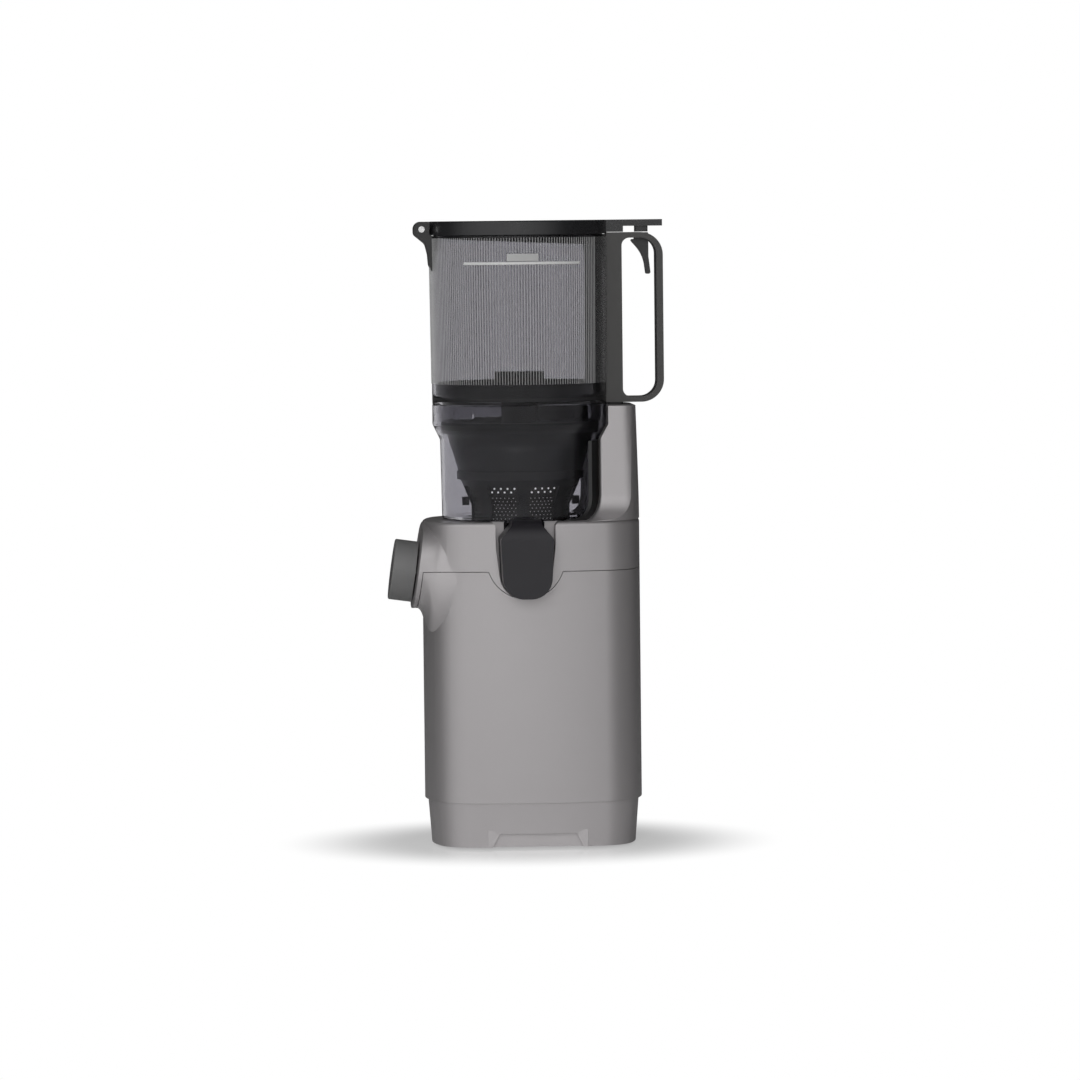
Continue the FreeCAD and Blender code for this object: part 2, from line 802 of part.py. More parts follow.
def drill(label, radius, length, x, y, z, axis, angle="90"):
    """A round rod used as a drill, turned about an axis through its start."""
    rod = doc.addObject("Part::Cylinder", label)
    rod.setExpression("Radius", full(radius))
    rod.setExpression("Height", full(length))
    rod.Placement = Placement(Vector(), Rotation(axis, value(angle)))
    rod.setExpression("Placement.Rotation.Angle", full(angle))
    for name, text in (("x", x), ("y", y), ("z", z)):
        rod.setExpression(f"Placement.Base.{name}", full(text))
    return rod


ACROSS = Vector(0, 1, 0)
KNOB_TURN = "neck_tilt - 90"


def gland_spot(inward):
    """A place on the cord gland's line, so far inward of the casing's round rear end."""
    reach = f"(end_r - ({inward}))"
    return (f"body_l / 2 + body_shift - end_r + {reach} * cos(gland_turn)", f"{reach} * sin(gland_turn)")


def gland_across():
    """The level line about which the gland is tipped from upright to square with the casing."""
    turn = math.radians(value("gland_turn"))
    return Vector(-math.sin(turn), math.cos(turn), 0)


def make_body_shells():
    shell = cut("body_shell", shell_form("outside", "0"), shell_form("inside", "wall"))
    gland_hole = drill("gland_hole", "gland_d / 2", "4 * wall", *gland_spot("3 * wall"), "gland_z", gland_across())
    casing = combine("MultiCommon", "casing_part", [shell, casing_zone("casing_side", "0")])
    keep("lower_casing", cut("casing", casing, gland_hole))
    seal_hole = turned("seal_hole", ring_section("0", "seal_r", f"{UNDER_WELL} - 1", f"{WELL} + 1"))
    depth = "(bezel_t + switch_gap + 2)"
    shaft_hole = drill("switch_hole", "switch_bush_r", f"2 * {depth}", f"-{BEZEL_X} + {depth} * cos(neck_tilt)", "0",
                       f"knob_z - {depth} * sin(neck_tilt)", ACROSS, KNOB_TURN)
    cover_cuts = combine("MultiFuse", "cover_cuts", [casing_zone("cover_side", "seam_gap"), seal_hole, shaft_hole])
    keep("upper_cover", cut("cover", shell, cover_cuts))


def make_foot_ring():
    body = new_body("foot_ring")
    low = sketch_on(body, "XY_Plane", "foot_h")
    body_oval(low, "-(skirt_inset + skirt_draft)")
    high = sketch_on(body, "XY_Plane", RING_TOP)
    body_oval(high, "-skirt_inset")
    loft(body, [low, high], ruled=True)
    mouth = sketch_on(body, "XY_Plane", PLATE_TOP)
    body_oval(mouth, "-(skirt_inset + skirt_draft + wall)")
    pocket(body, mouth, PLATE_TOP)
    inside = sketch_on(body, "XY_Plane", RING_TOP)
    body_oval(inside, "-(skirt_inset + skirt_draft + wall + ledge_w)")
    pocket(body, inside, "skirt_h")
    # The grips are cut into a thicker stretch of wall
    block = sketch_on(body, "XY_Plane", "foot_h")
    box_outline(block, "body_shift - grip_w / 2 - wall", f"-({GRIP_SIDE} - wall / 2)",
                "body_shift + grip_w / 2 + wall", f"-({GRIP_BACK} - wall)")
    backing = pad(body, block, "grip_h + wall")
    mirrored(body, [backing], "XZ_Plane")
    grip = sketch_on(body, "XZ_Plane", GRIP_BACK)
    outline(grip, [("body_shift - grip_w / 2", "foot_h - 1"), ("body_shift + grip_w / 2", "foot_h - 1"),
                   ("body_shift + grip_w / 2 - grip_slope", "foot_h + grip_h", "2"),
                   ("body_shift - grip_w / 2 + grip_slope", "foot_h + grip_h", "2")])
    recess = pocket(body, grip, "2 * grip_depth", flip=True)
    mirrored(body, [recess], "XZ_Plane")
    holes = sketch_on(body, "XY_Plane", f"{PLATE_TOP} + screw_l - plate_t")
    base_screw_circles(holes, "screw_d / 2")
    pocket(body, holes, "screw_l")
    keep("foot_ring", body)


def base_screw_circles(sketch, radius):
    for side_x in ("-", "+"):
        for side_y in ("-", "+"):
            circle(sketch, radius, f"body_shift {side_x} screw_x", f"0 {side_y} screw_y")


def make_bottom_plate():
    body = new_body("bottom_plate")
    sketch = sketch_on(body, "XY_Plane", "plate_z")
    body_oval(sketch, "-(skirt_inset + skirt_draft + wall + plate_gap)")
    pad(body, sketch, "plate_t")
    corners = sketch_on(body, "XY_Plane", PLATE_TOP)
    reach = "(grip_w / 2 + wall + plate_gap)"
    box_outline(corners, f"body_shift - {reach}", f"{GRIP_BACK} - wall - plate_gap", f"body_shift + {reach}",
                "body_w / 2")
    side_gap = pocket(body, corners, "2 * plate_t")
    mirrored(body, [side_gap], "XZ_Plane")
    holes = sketch_on(body, "XY_Plane", PLATE_TOP)
    base_screw_circles(holes, "screw_d / 2 + pin_clearance")
    pocket(body, holes, "2 * plate_t")
    vents = sketch_on(body, "XY_Plane", PLATE_TOP)
    for step in (-2, -1, 0, 1, 2):
        middle = f"vent_pitch * {step}"
        box_outline(vents, "body_shift - vent_l / 2", f"{middle} - vent_w / 2",
                    "body_shift + vent_l / 2", f"{middle} + vent_w / 2", "vent_w * 0.45")
    pocket(body, vents, "2 * plate_t")
    posts = sketch_on(body, "XY_Plane", PLATE_TOP)
    for side_x in ("-", "+"):
        for side_y in ("-", "+"):
            circle(posts, "board_post_d / 2", f"body_shift {side_x} (board_l / 2 - board_post_d / 2)",
                   f"0 {side_y} (board_w / 2 - board_post_d / 2)")
    pad(body, posts, "board_post_h")
    keep("bottom_plate", body)

    feet = new_body("rubber_feet")
    sketch = sketch_on(feet, "XY_Plane")
    for side_x in ("-", "+"):
        for side_y in ("-", "+"):
            circle(sketch, "pad_d / 2", f"body_shift {side_x} pad_x", f"0 {side_y} pad_y")
    pad(feet, sketch, "plate_z")
    keep("rubber_feet", feet)

    screws = new_body("base_screws")
    heads = sketch_on(screws, "XY_Plane", "plate_z - screw_head_h")
    base_screw_circles(heads, "screw_head_d / 2")
    pad(screws, heads, "screw_head_h")
    shanks = sketch_on(screws, "XY_Plane", "plate_z")
    base_screw_circles(shanks, "screw_d / 2")
    pad(screws, shanks, "screw_l")
    keep("base_screws", screws)


def make_cradle_panel():
    inner = "(bowl_r + cradle_gap)"
    ring = turned("cradle_ring", ring_section(inner, f"({inner} + cradle_t)", DECK, f"{SLOPE_LOW} - collar_gap"))
    flare = new_body("cradle_flare")
    sketch = sketch_on(flare, "YZ_Plane")
    wide = "(cradle_w / 2 + cradle_flare)"
    narrow = "(cradle_w / 2)"
    step = f"({DECK} + 1)"
    outline(sketch, [(f"-{wide}", DECK), (wide, DECK), (wide, step), (narrow, step, "cradle_flare * 0.95"),
                     (narrow, BOWL_TOP), (f"-{narrow}", BOWL_TOP),
                     (f"-{narrow}", step, "cradle_flare * 0.95"), (f"-{wide}", step)])
    pad(flare, sketch, "body_l")
    keep("cradle_panel", combine("MultiCommon", "cradle", [ring, flare]))


# Knob and electrics


def make_knob():
    top = "(knob_gap + knob_t)"
    face = f"({top} - knob_cap_t)"
    bore_r = "knob_shaft_d / 2"
    bore_top = f"(knob_gap + knob_shaft_l)"
    hub_r = "knob_shaft_d"
    inner = "(knob_d / 2 - knob_wall)"
    knob = turned("control_knob", [
        (bore_r, "knob_gap + knob_wall"), (hub_r, "knob_gap + knob_wall"), (hub_r, f"{face} - knob_wall"),
        (inner, f"{face} - knob_wall"), (inner, "knob_gap"), ("knob_d / 2", "knob_gap"),
        ("knob_d / 2", top, "knob_round"), ("knob_cap_r", top), ("knob_cap_r", face),
        ("0", face), ("0", bore_top), (bore_r, bore_top)])
    cap = turned("knob_cap", ring_section("0", "knob_cap_r", face, top))
    pointer = sketch_on(cap, "XY_Plane", top)
    box_outline(pointer, "knob_cap_r / 3", "-pointer_w / 2", "knob_cap_r + 1", "pointer_w / 2")
    pocket(cap, pointer, "knob_cap_t / 2")
    shaft = turned("knob_shaft", ring_section("0", bore_r, "-(bezel_t + switch_depth / 2)", bore_top))
    switch = new_body("rotary_switch")
    sketch = sketch_on(switch, "XY_Plane", "-(bezel_t + switch_gap + switch_depth)")
    box_outline(sketch, "-switch_side / 2", "-switch_side / 2", "switch_side / 2", "switch_side / 2", "2")
    pad(switch, sketch, "switch_depth")
    bush = sketch_on(switch, "XY_Plane", "-(bezel_t + switch_gap)")
    circle(bush, "switch_bush_r - pin_clearance")
    pad(switch, bush, "bezel_t + switch_gap")
    bore = sketch_on(switch, "XY_Plane")
    circle(bore, f"{bore_r} + pin_clearance")
    pocket(switch, bore, "bezel_t + switch_depth * 0.6")
    for label, piece in (("control_knob", knob), ("knob_cap", cap), ("knob_shaft", shaft), ("rotary_switch", switch)):
        keep(label, piece, f"-{BEZEL_X}", "0", "knob_z", (ACROSS, KNOB_TURN))


def make_electrics():
    board_low = f"({PLATE_TOP} + board_post_h)"
    board = new_body("control_board")
    sketch = sketch_on(board, "XY_Plane", board_low)
    box_outline(sketch, "body_shift - board_l / 2", "-board_w / 2", "body_shift + board_l / 2", "board_w / 2", "2")
    pad(board, sketch, "board_t")
    keep("control_board", board)
    items = new_body("board_components")
    sketch = sketch_on(items, "XY_Plane", f"{board_low} + board_t")
    circle(sketch, "capacitor_d / 2", "body_shift - board_l / 4", "board_w / 5")
    box_outline(sketch, "body_shift + 2", "-board_w / 3", "body_shift + board_l / 2 - 4", "-board_w / 10")
    box_outline(sketch, "body_shift - board_l / 2 + 4", "-board_w / 2 + 4", "body_shift - 2", "-board_w / 4")
    pad(items, sketch, "capacitor_h")
    keep("board_components", items)

    switch = new_body("interlock_switch")
    sketch = sketch_on(switch, "XY_Plane", f"{TOWER_TOP} - wall - interlock_h")
    low_x = "(collar_r + collar_gap + wall + 0.5)"
    box_outline(sketch, low_x, "-interlock_w / 2", f"{low_x} + interlock_l", "interlock_w / 2")
    pad(switch, sketch, "interlock_h")
    keep("interlock_switch", switch)

    gland = turned("cord_gland", [
        ("gland_bore_d / 2", "-(gland_l - gland_flange_t)"), ("gland_d / 2 - 1", "-(gland_l - gland_flange_t)"),
        ("gland_d / 2", "-wall"), ("gland_d / 2", "0"), ("gland_flange_d / 2", "0"),
        ("gland_flange_d / 2", "gland_flange_t", "1"), ("gland_bore_d / 2", "gland_flange_t")])
    keep("cord_gland", gland, *gland_spot("0"), "gland_z", (gland_across(), "90"))


# Motor and gearbox


def make_motor():
    shaft_r = "rotor_shaft_d / 2"
    seat_r = "bearing_d / 2"
    hub_r = f"({seat_r} + bearing_hub_w)"
    lip_r = f"({seat_r} - 3)"
    rim_r = "(motor_r - rim_w)"
    low_seat = f"({CRADLE_LOW} - {BEARING_LIP})"
    cradle = turned("motor_cradle", [
        (lip_r, f"{low_seat} - 1"), (hub_r, f"{low_seat} - 1"), (hub_r, CRADLE_LOW), ("motor_r", CRADLE_LOW),
        ("motor_r", STATOR_LOW), (rim_r, STATOR_LOW), (rim_r, f"{CRADLE_LOW} + bracket_t"),
        (seat_r, f"{CRADLE_LOW} + bracket_t"), (seat_r, low_seat), (lip_r, low_seat)])
    pillars = sketch_on(cradle, "XY_Plane", PLATE_TOP)
    for side_x in ("-", "+"):
        for side_y in ("-", "+"):
            circle(pillars, "pillar_d / 2", f"0 {side_x} pillar_x", f"0 {side_y} pillar_y")
    pad(cradle, pillars, f"{CRADLE_LOW} - {PLATE_TOP}")
    keep("motor_cradle", cradle)

    high_seat = f"({BRACKET_TOP} + {BEARING_LIP})"
    bracket = turned("motor_bracket", [
        (seat_r, f"{BRACKET_TOP} - bracket_t"), (rim_r, f"{BRACKET_TOP} - bracket_t"), (rim_r, STATOR_TOP),
        ("motor_r", STATOR_TOP), ("motor_r", BRACKET_TOP), (hub_r, BRACKET_TOP), (hub_r, f"{high_seat} + 1"),
        (lip_r, f"{high_seat} + 1"), (lip_r, high_seat), (seat_r, high_seat)])
    keep("motor_bracket", bracket)
    bearings = turned(
        "motor_bearings",
        ring_section(f"{shaft_r} + pin_clearance", seat_r, low_seat, f"{low_seat} + bearing_t"),
        ring_section(f"{shaft_r} + pin_clearance", seat_r, f"{high_seat} - bearing_t", high_seat))
    keep("motor_bearings", bearings)

    keep("motor_stator", turned("motor_stator", ring_section("motor_bore_r", "motor_r", STATOR_LOW, STATOR_TOP)))
    coil_in = "(motor_bore_r + 3)"
    coil_out = f"({rim_r} - 1)"
    keep("stator_coils", turned(
        "stator_coils", ring_section(coil_in, coil_out, f"{STATOR_LOW} - coil_h", STATOR_LOW),
        ring_section(coil_in, coil_out, STATOR_TOP, f"{STATOR_TOP} + coil_h")))
    keep("motor_rotor", turned("motor_rotor", ring_section(
        shaft_r, "motor_bore_r - motor_air_gap", f"{STATOR_LOW} + 1", f"{STATOR_TOP} - 1")))
    keep("rotor_shaft", turned("rotor_shaft", ring_section("0", shaft_r, f"{FAN_LOW} - 2", f"{GEARS} + gear_w")))

    back = f"({FAN_LOW} + fan_h)"
    fan = turned("cooling_fan", [(shaft_r, FAN_LOW), ("rotor_shaft_d", FAN_LOW), ("rotor_shaft_d", f"{back} - fan_t"),
                                 ("fan_r", f"{back} - fan_t"), ("fan_r", back), (shaft_r, back)])
    blade = sketch_on(fan, "XY_Plane", FAN_LOW)
    outline(blade, [("rotor_shaft_d - 1", "-fan_t / 2"), ("fan_r - 1", "3"), ("fan_r - 1", "3 + fan_t"),
                    ("rotor_shaft_d - 1", "fan_t / 2")])
    vane = pad(fan, blade, "fan_h - fan_t / 2")
    polar(fan, [vane], "fan_blades")
    keep("cooling_fan", fan)


def tooth_line(teeth, inside, turn):
    """The closed line of a gear's straight-flanked teeth, outward or inward."""
    module = value("gear_module")
    pitch_r = module * teeth / 2
    slope = math.tan(math.radians(20))
    thick = math.pi * module / 2 - value("gear_backlash")
    depth = 1.25 * module
    rise = value("gear_tip") * module
    root, tip = (depth, -rise) if inside else (-depth, rise)
    points = []
    for tooth in range(teeth):
        middle = 2 * math.pi * tooth / teeth + turn
        for offset, side in ((root, -1), (tip, -1), (tip, 1), (root, 1)):
            radius = pitch_r + offset
            half = thick / 2 - abs(offset) * slope * (1 if offset == tip else -1)
            angle = middle + side * half / radius
            points.append(Vector(radius * math.cos(angle), radius * math.sin(angle), 0))
    return Part.makePolygon(points + points[:1])


def gear(label, outer, inner, width):
    """A spur gear between an outer and an inner closed line."""
    feature = doc.addObject("Part::Feature", label)
    feature.Shape = Part.Face(outer).extrude(Vector(0, 0, width)).cut(Part.Face(inner).extrude(Vector(0, 0, width)))
    return feature


def round_line(radius):
    return Part.Wire(Part.makeCircle(radius))


def make_gears():
    width = value("gear_w")
    sun_teeth = int(value("sun_teeth"))
    planet_teeth = int(value("planet_teeth"))
    ring_teeth = sun_teeth + 2 * planet_teeth
    sun = gear("sun_gear", tooth_line(sun_teeth, False, 0), round_line(value("rotor_shaft_d / 2")), width)
    keep("sun_gear", sun, "0", "0", GEARS)
    ring = gear("ring_gear", round_line(value("gearbox_r - gearbox_wall")), tooth_line(ring_teeth, True, 0), width)
    keep("ring_gear", ring, "0", "0", GEARS)
    for index, angle in enumerate(("0", "120", "240"), start=1):
        # A gap of each planet faces the tooth of the sun that points at it
        turn = math.radians(value(angle)) + math.pi + math.pi / planet_teeth
        planet = gear(f"planet_gear_{index}", tooth_line(planet_teeth, False, turn),
                      round_line(value("planet_pin_d / 2 + pin_clearance")), value("gear_w - gear_play / 2"))
        keep(f"planet_gear_{index}", planet, f"{PLANET_X} * cos({angle})", f"{PLANET_X} * sin({angle})",
             f"({GEARS} + gear_play / 4)")


def make_gearbox():
    inner = "(gearbox_r - gearbox_wall)"
    step_r = f"({inner} - 3.5)"
    shaft_room = "rotor_shaft_d"
    keep("gearbox_housing", turned("gearbox_housing", [
        (inner, BRACKET_TOP), ("gearbox_r", BRACKET_TOP), ("gearbox_r", GEAR_LID), (inner, GEAR_LID),
        (inner, GEARS), (step_r, GEARS), (step_r, GEAR_FLOOR), (shaft_room, GEAR_FLOOR),
        (shaft_room, f"{GEAR_FLOOR} - gearbox_floor"), (inner, f"{GEAR_FLOOR} - gearbox_floor")]))
    seat = "output_bearing_d / 2"
    lip = f"({seat} - 6)"
    keep("gearbox_lid", turned("gearbox_lid", [
        (lip, GEAR_LID), ("gearbox_r", GEAR_LID), ("gearbox_r", f"{GEAR_LID} + gearbox_lid_t"),
        (f"{seat} + 4", f"{GEAR_LID} + gearbox_lid_t"), (f"{seat} + 4", UNDER_WELL), (seat, UNDER_WELL),
        (seat, f"{GEAR_LID} + 1"), (lip, f"{GEAR_LID} + 1")]))
    keep("output_bearing", turned("output_bearing", ring_section(
        "output_d / 2 + pin_clearance", seat, f"{GEAR_LID} + 1", f"{GEAR_LID} + 1 + output_bearing_t")))
    keep("shaft_seal", turned("shaft_seal", ring_section(
        "output_d / 2 + pin_clearance", "seal_r", f"{WELL} - seal_h", WELL)))

    low = f"({GEARS} + gear_w + gear_play)"
    carrier = turned("planet_carrier", ring_section("0", "carrier_r", low, f"{low} + carrier_t"))
    keep("planet_carrier", carrier)
    pins = new_body("planet_pins")
    sketch = sketch_on(pins, "XY_Plane", f"{GEARS} - gear_play")
    for angle in ("0", "120", "240"):
        circle(sketch, "planet_pin_d / 2", f"{PLANET_X} * cos({angle})", f"{PLANET_X} * sin({angle})")
    pad(pins, sketch, "gear_w + 2 * gear_play")
    keep("planet_pins", pins)

    shaft_low = f"({low} + carrier_t)"
    hex_low = f"({SUMP_FLOOR} + hub_h)"
    shaft = turned("drive_shaft", ring_section("0", "output_d / 2", shaft_low, hex_low))
    sketch = sketch_on(shaft, "XY_Plane", hex_low)
    hexagon(sketch, "hex_af")
    pad(shaft, sketch, "hex_l")
    keep("drive_shaft", shaft)


def hexagon(sketch, across):
    corner_r = f"({across} / sqrt(3))"
    outline(sketch, [(f"{corner_r} * cos({60 * i})", f"{corner_r} * sin({60 * i})") for i in range(6)])


# Juicing bowl, spouts and strainer


def wedge(sketch, inner, outer, middle, width):
    """A ring segment between two radii, its width given in degrees."""
    sides = [f"({middle} - {width} / 2)", f"({middle} + {width} / 2)"]
    origin = Vector()
    spots = [[Vector(value(f"{radius} * cos({side})"), value(f"{radius} * sin({side})"), 0)
              for radius in (inner, outer)] for side in sides]
    start, stop = (math.radians(value(side)) for side in sides)
    up = Vector(0, 0, 1)
    shapes = [Part.LineSegment(*spots[0]), Part.LineSegment(*spots[1]),
              Part.ArcOfCircle(Part.Circle(origin, up, value(inner)), start, stop),
              Part.ArcOfCircle(Part.Circle(origin, up, value(outer)), start, stop)]
    low, high, inside, outside = sketch.addGeometry(shapes)
    rules = []
    for line, side in ((low, sides[0]), (high, sides[1])):
        for end, radius in ((1, inner), (2, outer)):
            rules += at_point(line, end, f"{radius} * cos({side})", f"{radius} * sin({side})")
    for arc, end, radius in ((inside, 1, inner), (outside, 2, outer)):
        rules += [("Coincident", (arc, 1, low, end)), ("Coincident", (arc, 2, high, end)), ("Radius", (arc,), radius)]
    constrain(sketch, rules)


def make_bowl():
    low_r = "(bowl_r - bowl_taper)"
    floor = f"({BOWL_SEAT} + bowl_wall)"
    hub_top = f"({SUMP_FLOOR} + hub_h)"
    bowl = turned("juicing_bowl", [
        ("hub_bore_r", SUMP_LOW), ("sump_r", SUMP_LOW), ("sump_r", BOWL_SEAT), (low_r, BOWL_SEAT, "2"),
        ("bowl_r", SLOPE_LOW), ("collar_r", RIM_LOW, "3"), ("collar_r", BOWL_TOP, "bowl_wall / 3"),
        ("collar_r - bowl_wall", BOWL_TOP, "bowl_wall / 3"), ("collar_r - bowl_wall", RIM_LOW),
        ("bowl_r - bowl_wall", SLOPE_LOW), (f"{low_r} - bowl_wall", floor), ("sump_r - bowl_wall", floor),
        ("sump_r - bowl_wall", SUMP_FLOOR), ("hub_r", SUMP_FLOOR), ("hub_r", hub_top), ("hub_bore_r", hub_top)])
    window = sketch_on(bowl, "XY_Plane", SUMP_FLOOR)
    box_outline(window, "-sump_window_w / 2", "-(sump_r + 2)", "sump_window_w / 2", "sump_r + 2")
    pocket(bowl, window, "duct_h - 2 * spout_wall", flip=True)
    lip_low = f"({BOWL_TOP} - hopper_skirt_h + lug_gap + lug_h + lug_gap)"
    lips = sketch_on(bowl, "XY_Plane", lip_low)
    wedge(lips, "(hopper_skirt_r + lug_gap)", "(collar_r - bowl_wall / 2)", "45", "lug_w")
    lip = pad(bowl, lips, "lug_h")
    polar(bowl, [lip], "lug_count")
    keep("juicing_bowl", bowl)


def spout_outline(sketch, neck, low, inset):
    """The hood seen from its mouth: a narrow neck, shoulders and a rounded lower end."""
    top = f"({DECK} + spout_rise - {inset})"
    shoulder = f"({DECK} - spout_shoulder - {inset} / 2)"
    knee = f"({DECK} - spout_neck_drop - {inset} / 2)"
    neck_x = f"({neck} / 2 - {inset})"
    wide = f"(spout_w / 2 - {inset})"
    narrow = f"(spout_low_w / 2 - {inset})"
    round_r = f"(spout_corner_r - {inset})"
    outline(sketch, [(f"-{narrow}", low, round_r), (narrow, low, round_r), (wide, shoulder, "4"), (neck_x, knee, "4"),
                     (neck_x, top), (f"-{neck_x}", top), (f"-{neck_x}", knee, "4"), (f"-{wide}", shoulder, "4")])


def make_spout(label, neck, side):
    """A hood on the bowl's outlet, open below, at one side of the body."""
    low = f"({DECK} - spout_drop)"
    forms = []
    for name, inset, bottom in (("outside", "0", low), ("inside", "spout_wall", f"({low} - 2 * spout_corner_r)")):
        face = new_body(f"{label}_{name}_face")
        sketch = sketch_on(face, "XZ_Plane")
        spout_outline(sketch, neck, bottom, inset)
        pad(face, sketch, "2.5 * spout_reach", middle=True)
        flank = new_body(f"{label}_{name}_flank")
        sketch = sketch_on(flank, "YZ_Plane")
        back = f"{side}(spout_back + {inset})"
        front = f"{side}(spout_reach - {inset})"
        top = f"({DECK} + spout_rise - {inset})"
        corners = [(back, bottom), (front, bottom), (front, top, f"(spout_brow_r - {inset})"), (back, top)]
        outline(sketch, corners)
        pad(flank, sketch, "2 * spout_w", middle=True)
        forms.append(combine("MultiCommon", f"{label}_{name}", [face, flank]))
    duct_low = f"({SUMP_FLOOR} - spout_wall)"
    duct = new_body(f"{label}_duct")
    sketch = sketch_on(duct, "XY_Plane", duct_low)
    box_outline(sketch, f"-{neck} / 2", f"{side}(sump_r - 6)", f"{neck} / 2", f"{side}(spout_back + spout_wall)")
    pad(duct, sketch, "duct_h")
    bore = new_body(f"{label}_bore")
    sketch = sketch_on(bore, "XY_Plane", SUMP_FLOOR)
    box_outline(sketch, "-sump_window_w / 2", f"{side}(sump_r - 7)", "sump_window_w / 2",
                f"{side}(spout_back + 2 * spout_wall)")
    pad(bore, sketch, "duct_h - 2 * spout_wall")
    room_r = "(bowl_r - bowl_taper + bowl_seat_gap)"
    bowl_room = turned(f"{label}_room", [
        ("0", f"{SUMP_LOW} - 5"), ("sump_r", f"{SUMP_LOW} - 5"), ("sump_r", f"{BOWL_SEAT} - 0.1"),
        (room_r, f"{BOWL_SEAT} - 0.1"), (room_r, f"{DECK} + 2 * spout_rise"), ("0", f"{DECK} + 2 * spout_rise")])
    solid = combine("MultiFuse", f"{label}_solid", [forms[0], duct])
    keep(label, cut(f"{label}_hood", solid, combine("MultiFuse", f"{label}_cuts", [forms[1], bore, bowl_room])))


def strainer_line(inset):
    mid = f"({SUMP_FLOOR} + strainer_mid_h)"
    foot = f"({SUMP_FLOOR} + strainer_foot_h)"
    return [(f"(strainer_r - {inset})", foot), (f"(strainer_mid_r - {inset})", mid)]


def make_strainer():
    rim_low = f"({SUMP_FLOOR} + strainer_h)"
    rim_top = f"({rim_low} + strainer_rim_t)"
    ring_top = f"({SUMP_FLOOR} + strainer_mid_h + 1)"
    wall = "strainer_wall"
    frame = turned("strainer_frame", [
        ("strainer_r - strainer_wall", SUMP_FLOOR), ("strainer_r", SUMP_FLOOR)] + strainer_line("0")[:1] + [
        ("strainer_mid_r - strainer_wall / 2", f"{ring_top} - strainer_ring_h"),
        ("strainer_ring_r", f"{ring_top} - strainer_ring_h"), ("strainer_ring_r", ring_top),
        ("strainer_mid_r + strainer_wall / 4", ring_top), ("strainer_top_r", rim_low),
        ("strainer_rim_r", rim_low), ("strainer_rim_r", rim_top), ("strainer_top_r - strainer_wall", rim_top)]
        + strainer_line(wall)[::-1])
    window = sketch_on(frame, "XY_Plane", f"{SUMP_FLOOR} + panel_low")
    outer = "(strainer_mid_r + 1)"
    wedge(window, "(strainer_r - 3 * strainer_wall)", outer, "180 / panel_count", "panel_angle")
    opening = pocket(frame, window, "panel_h", flip=True)
    polar(frame, [opening], "panel_count")
    lugs = sketch_on(frame, "XY_Plane", f"{SUMP_FLOOR} + strainer_foot_h")
    for side in ("-", ""):
        box_outline(lugs, f"{side}(strainer_r + strainer_wall)", "-panel_rib / 2",
                    f"{side}strainer_lug_r", "panel_rib / 2")
    pad(frame, lugs, "strainer_ring_h")
    keep("strainer_frame", frame)
    outer = "(strainer_wall + screen_gap)"
    inner = f"({outer} + screen_t)"
    foot = f"({SUMP_FLOOR} + panel_low / 2)"
    cone_top = f"({SUMP_FLOOR} + panel_low + panel_h + 3)"
    slope = "(strainer_mid_r - strainer_r) / (strainer_mid_h - strainer_foot_h)"
    top_r = f"(strainer_r + ({cone_top} - {SUMP_FLOOR} - strainer_foot_h) * {slope})"
    bend = f"({SUMP_FLOOR} + strainer_foot_h)"
    screen = turned("strainer_screen", [
        (f"strainer_r - {inner}", foot), (f"strainer_r - {outer}", foot), (f"strainer_r - {outer}", bend),
        (f"{top_r} - {outer}", cone_top), (f"{top_r} - {inner}", cone_top), (f"strainer_r - {inner}", bend)])
    keep("strainer_screen", screen)
    seal_top = f"({BOWL_TOP} - hopper_skirt_h - lug_gap)"
    keep("rim_seal", turned("rim_seal", ring_section("rim_seal_r - bowl_wall", "rim_seal_r", rim_top, seal_top)))


# Auger and its feeding head


def flight_section(sketch, core, reach):
    """The round core with one flight lobe on it."""
    foot = "(auger_flight / 2)"
    tip = "(auger_flight / 5)"
    corners = [(reach, f"-{tip}"), (reach, tip), (core, foot), (core, f"-{foot}")]
    spots = [Vector(value(f"{r} * cos({a})"), value(f"{r} * sin({a})"), 0) for r, a in corners]
    angles = [math.radians(value(a)) for _, a in corners]
    up = Vector(0, 0, 1)
    shapes = [Part.ArcOfCircle(Part.Circle(Vector(), up, value(reach)), angles[0], angles[1]),
              Part.LineSegment(spots[1], spots[2]),
              Part.ArcOfCircle(Part.Circle(Vector(), up, value(core)), angles[2], angles[3] + 2 * math.pi),
              Part.LineSegment(spots[3], spots[0])]
    crest, left, back, right = sketch.addGeometry(shapes)
    rules = []
    for line, first, last in ((left, 1, 2), (right, 3, 0)):
        for end, which in ((1, first), (2, last)):
            radius, angle = corners[which]
            rules += at_point(line, end, f"{radius} * cos({angle})", f"{radius} * sin({angle})")
    rules += [("Coincident", (crest, 1, right, 2)), ("Coincident", (crest, 2, left, 1)), ("Radius", (crest,), reach),
              ("Coincident", (back, 1, left, 2)), ("Coincident", (back, 2, right, 1)), ("Radius", (back,), core)]
    constrain(sketch, rules)


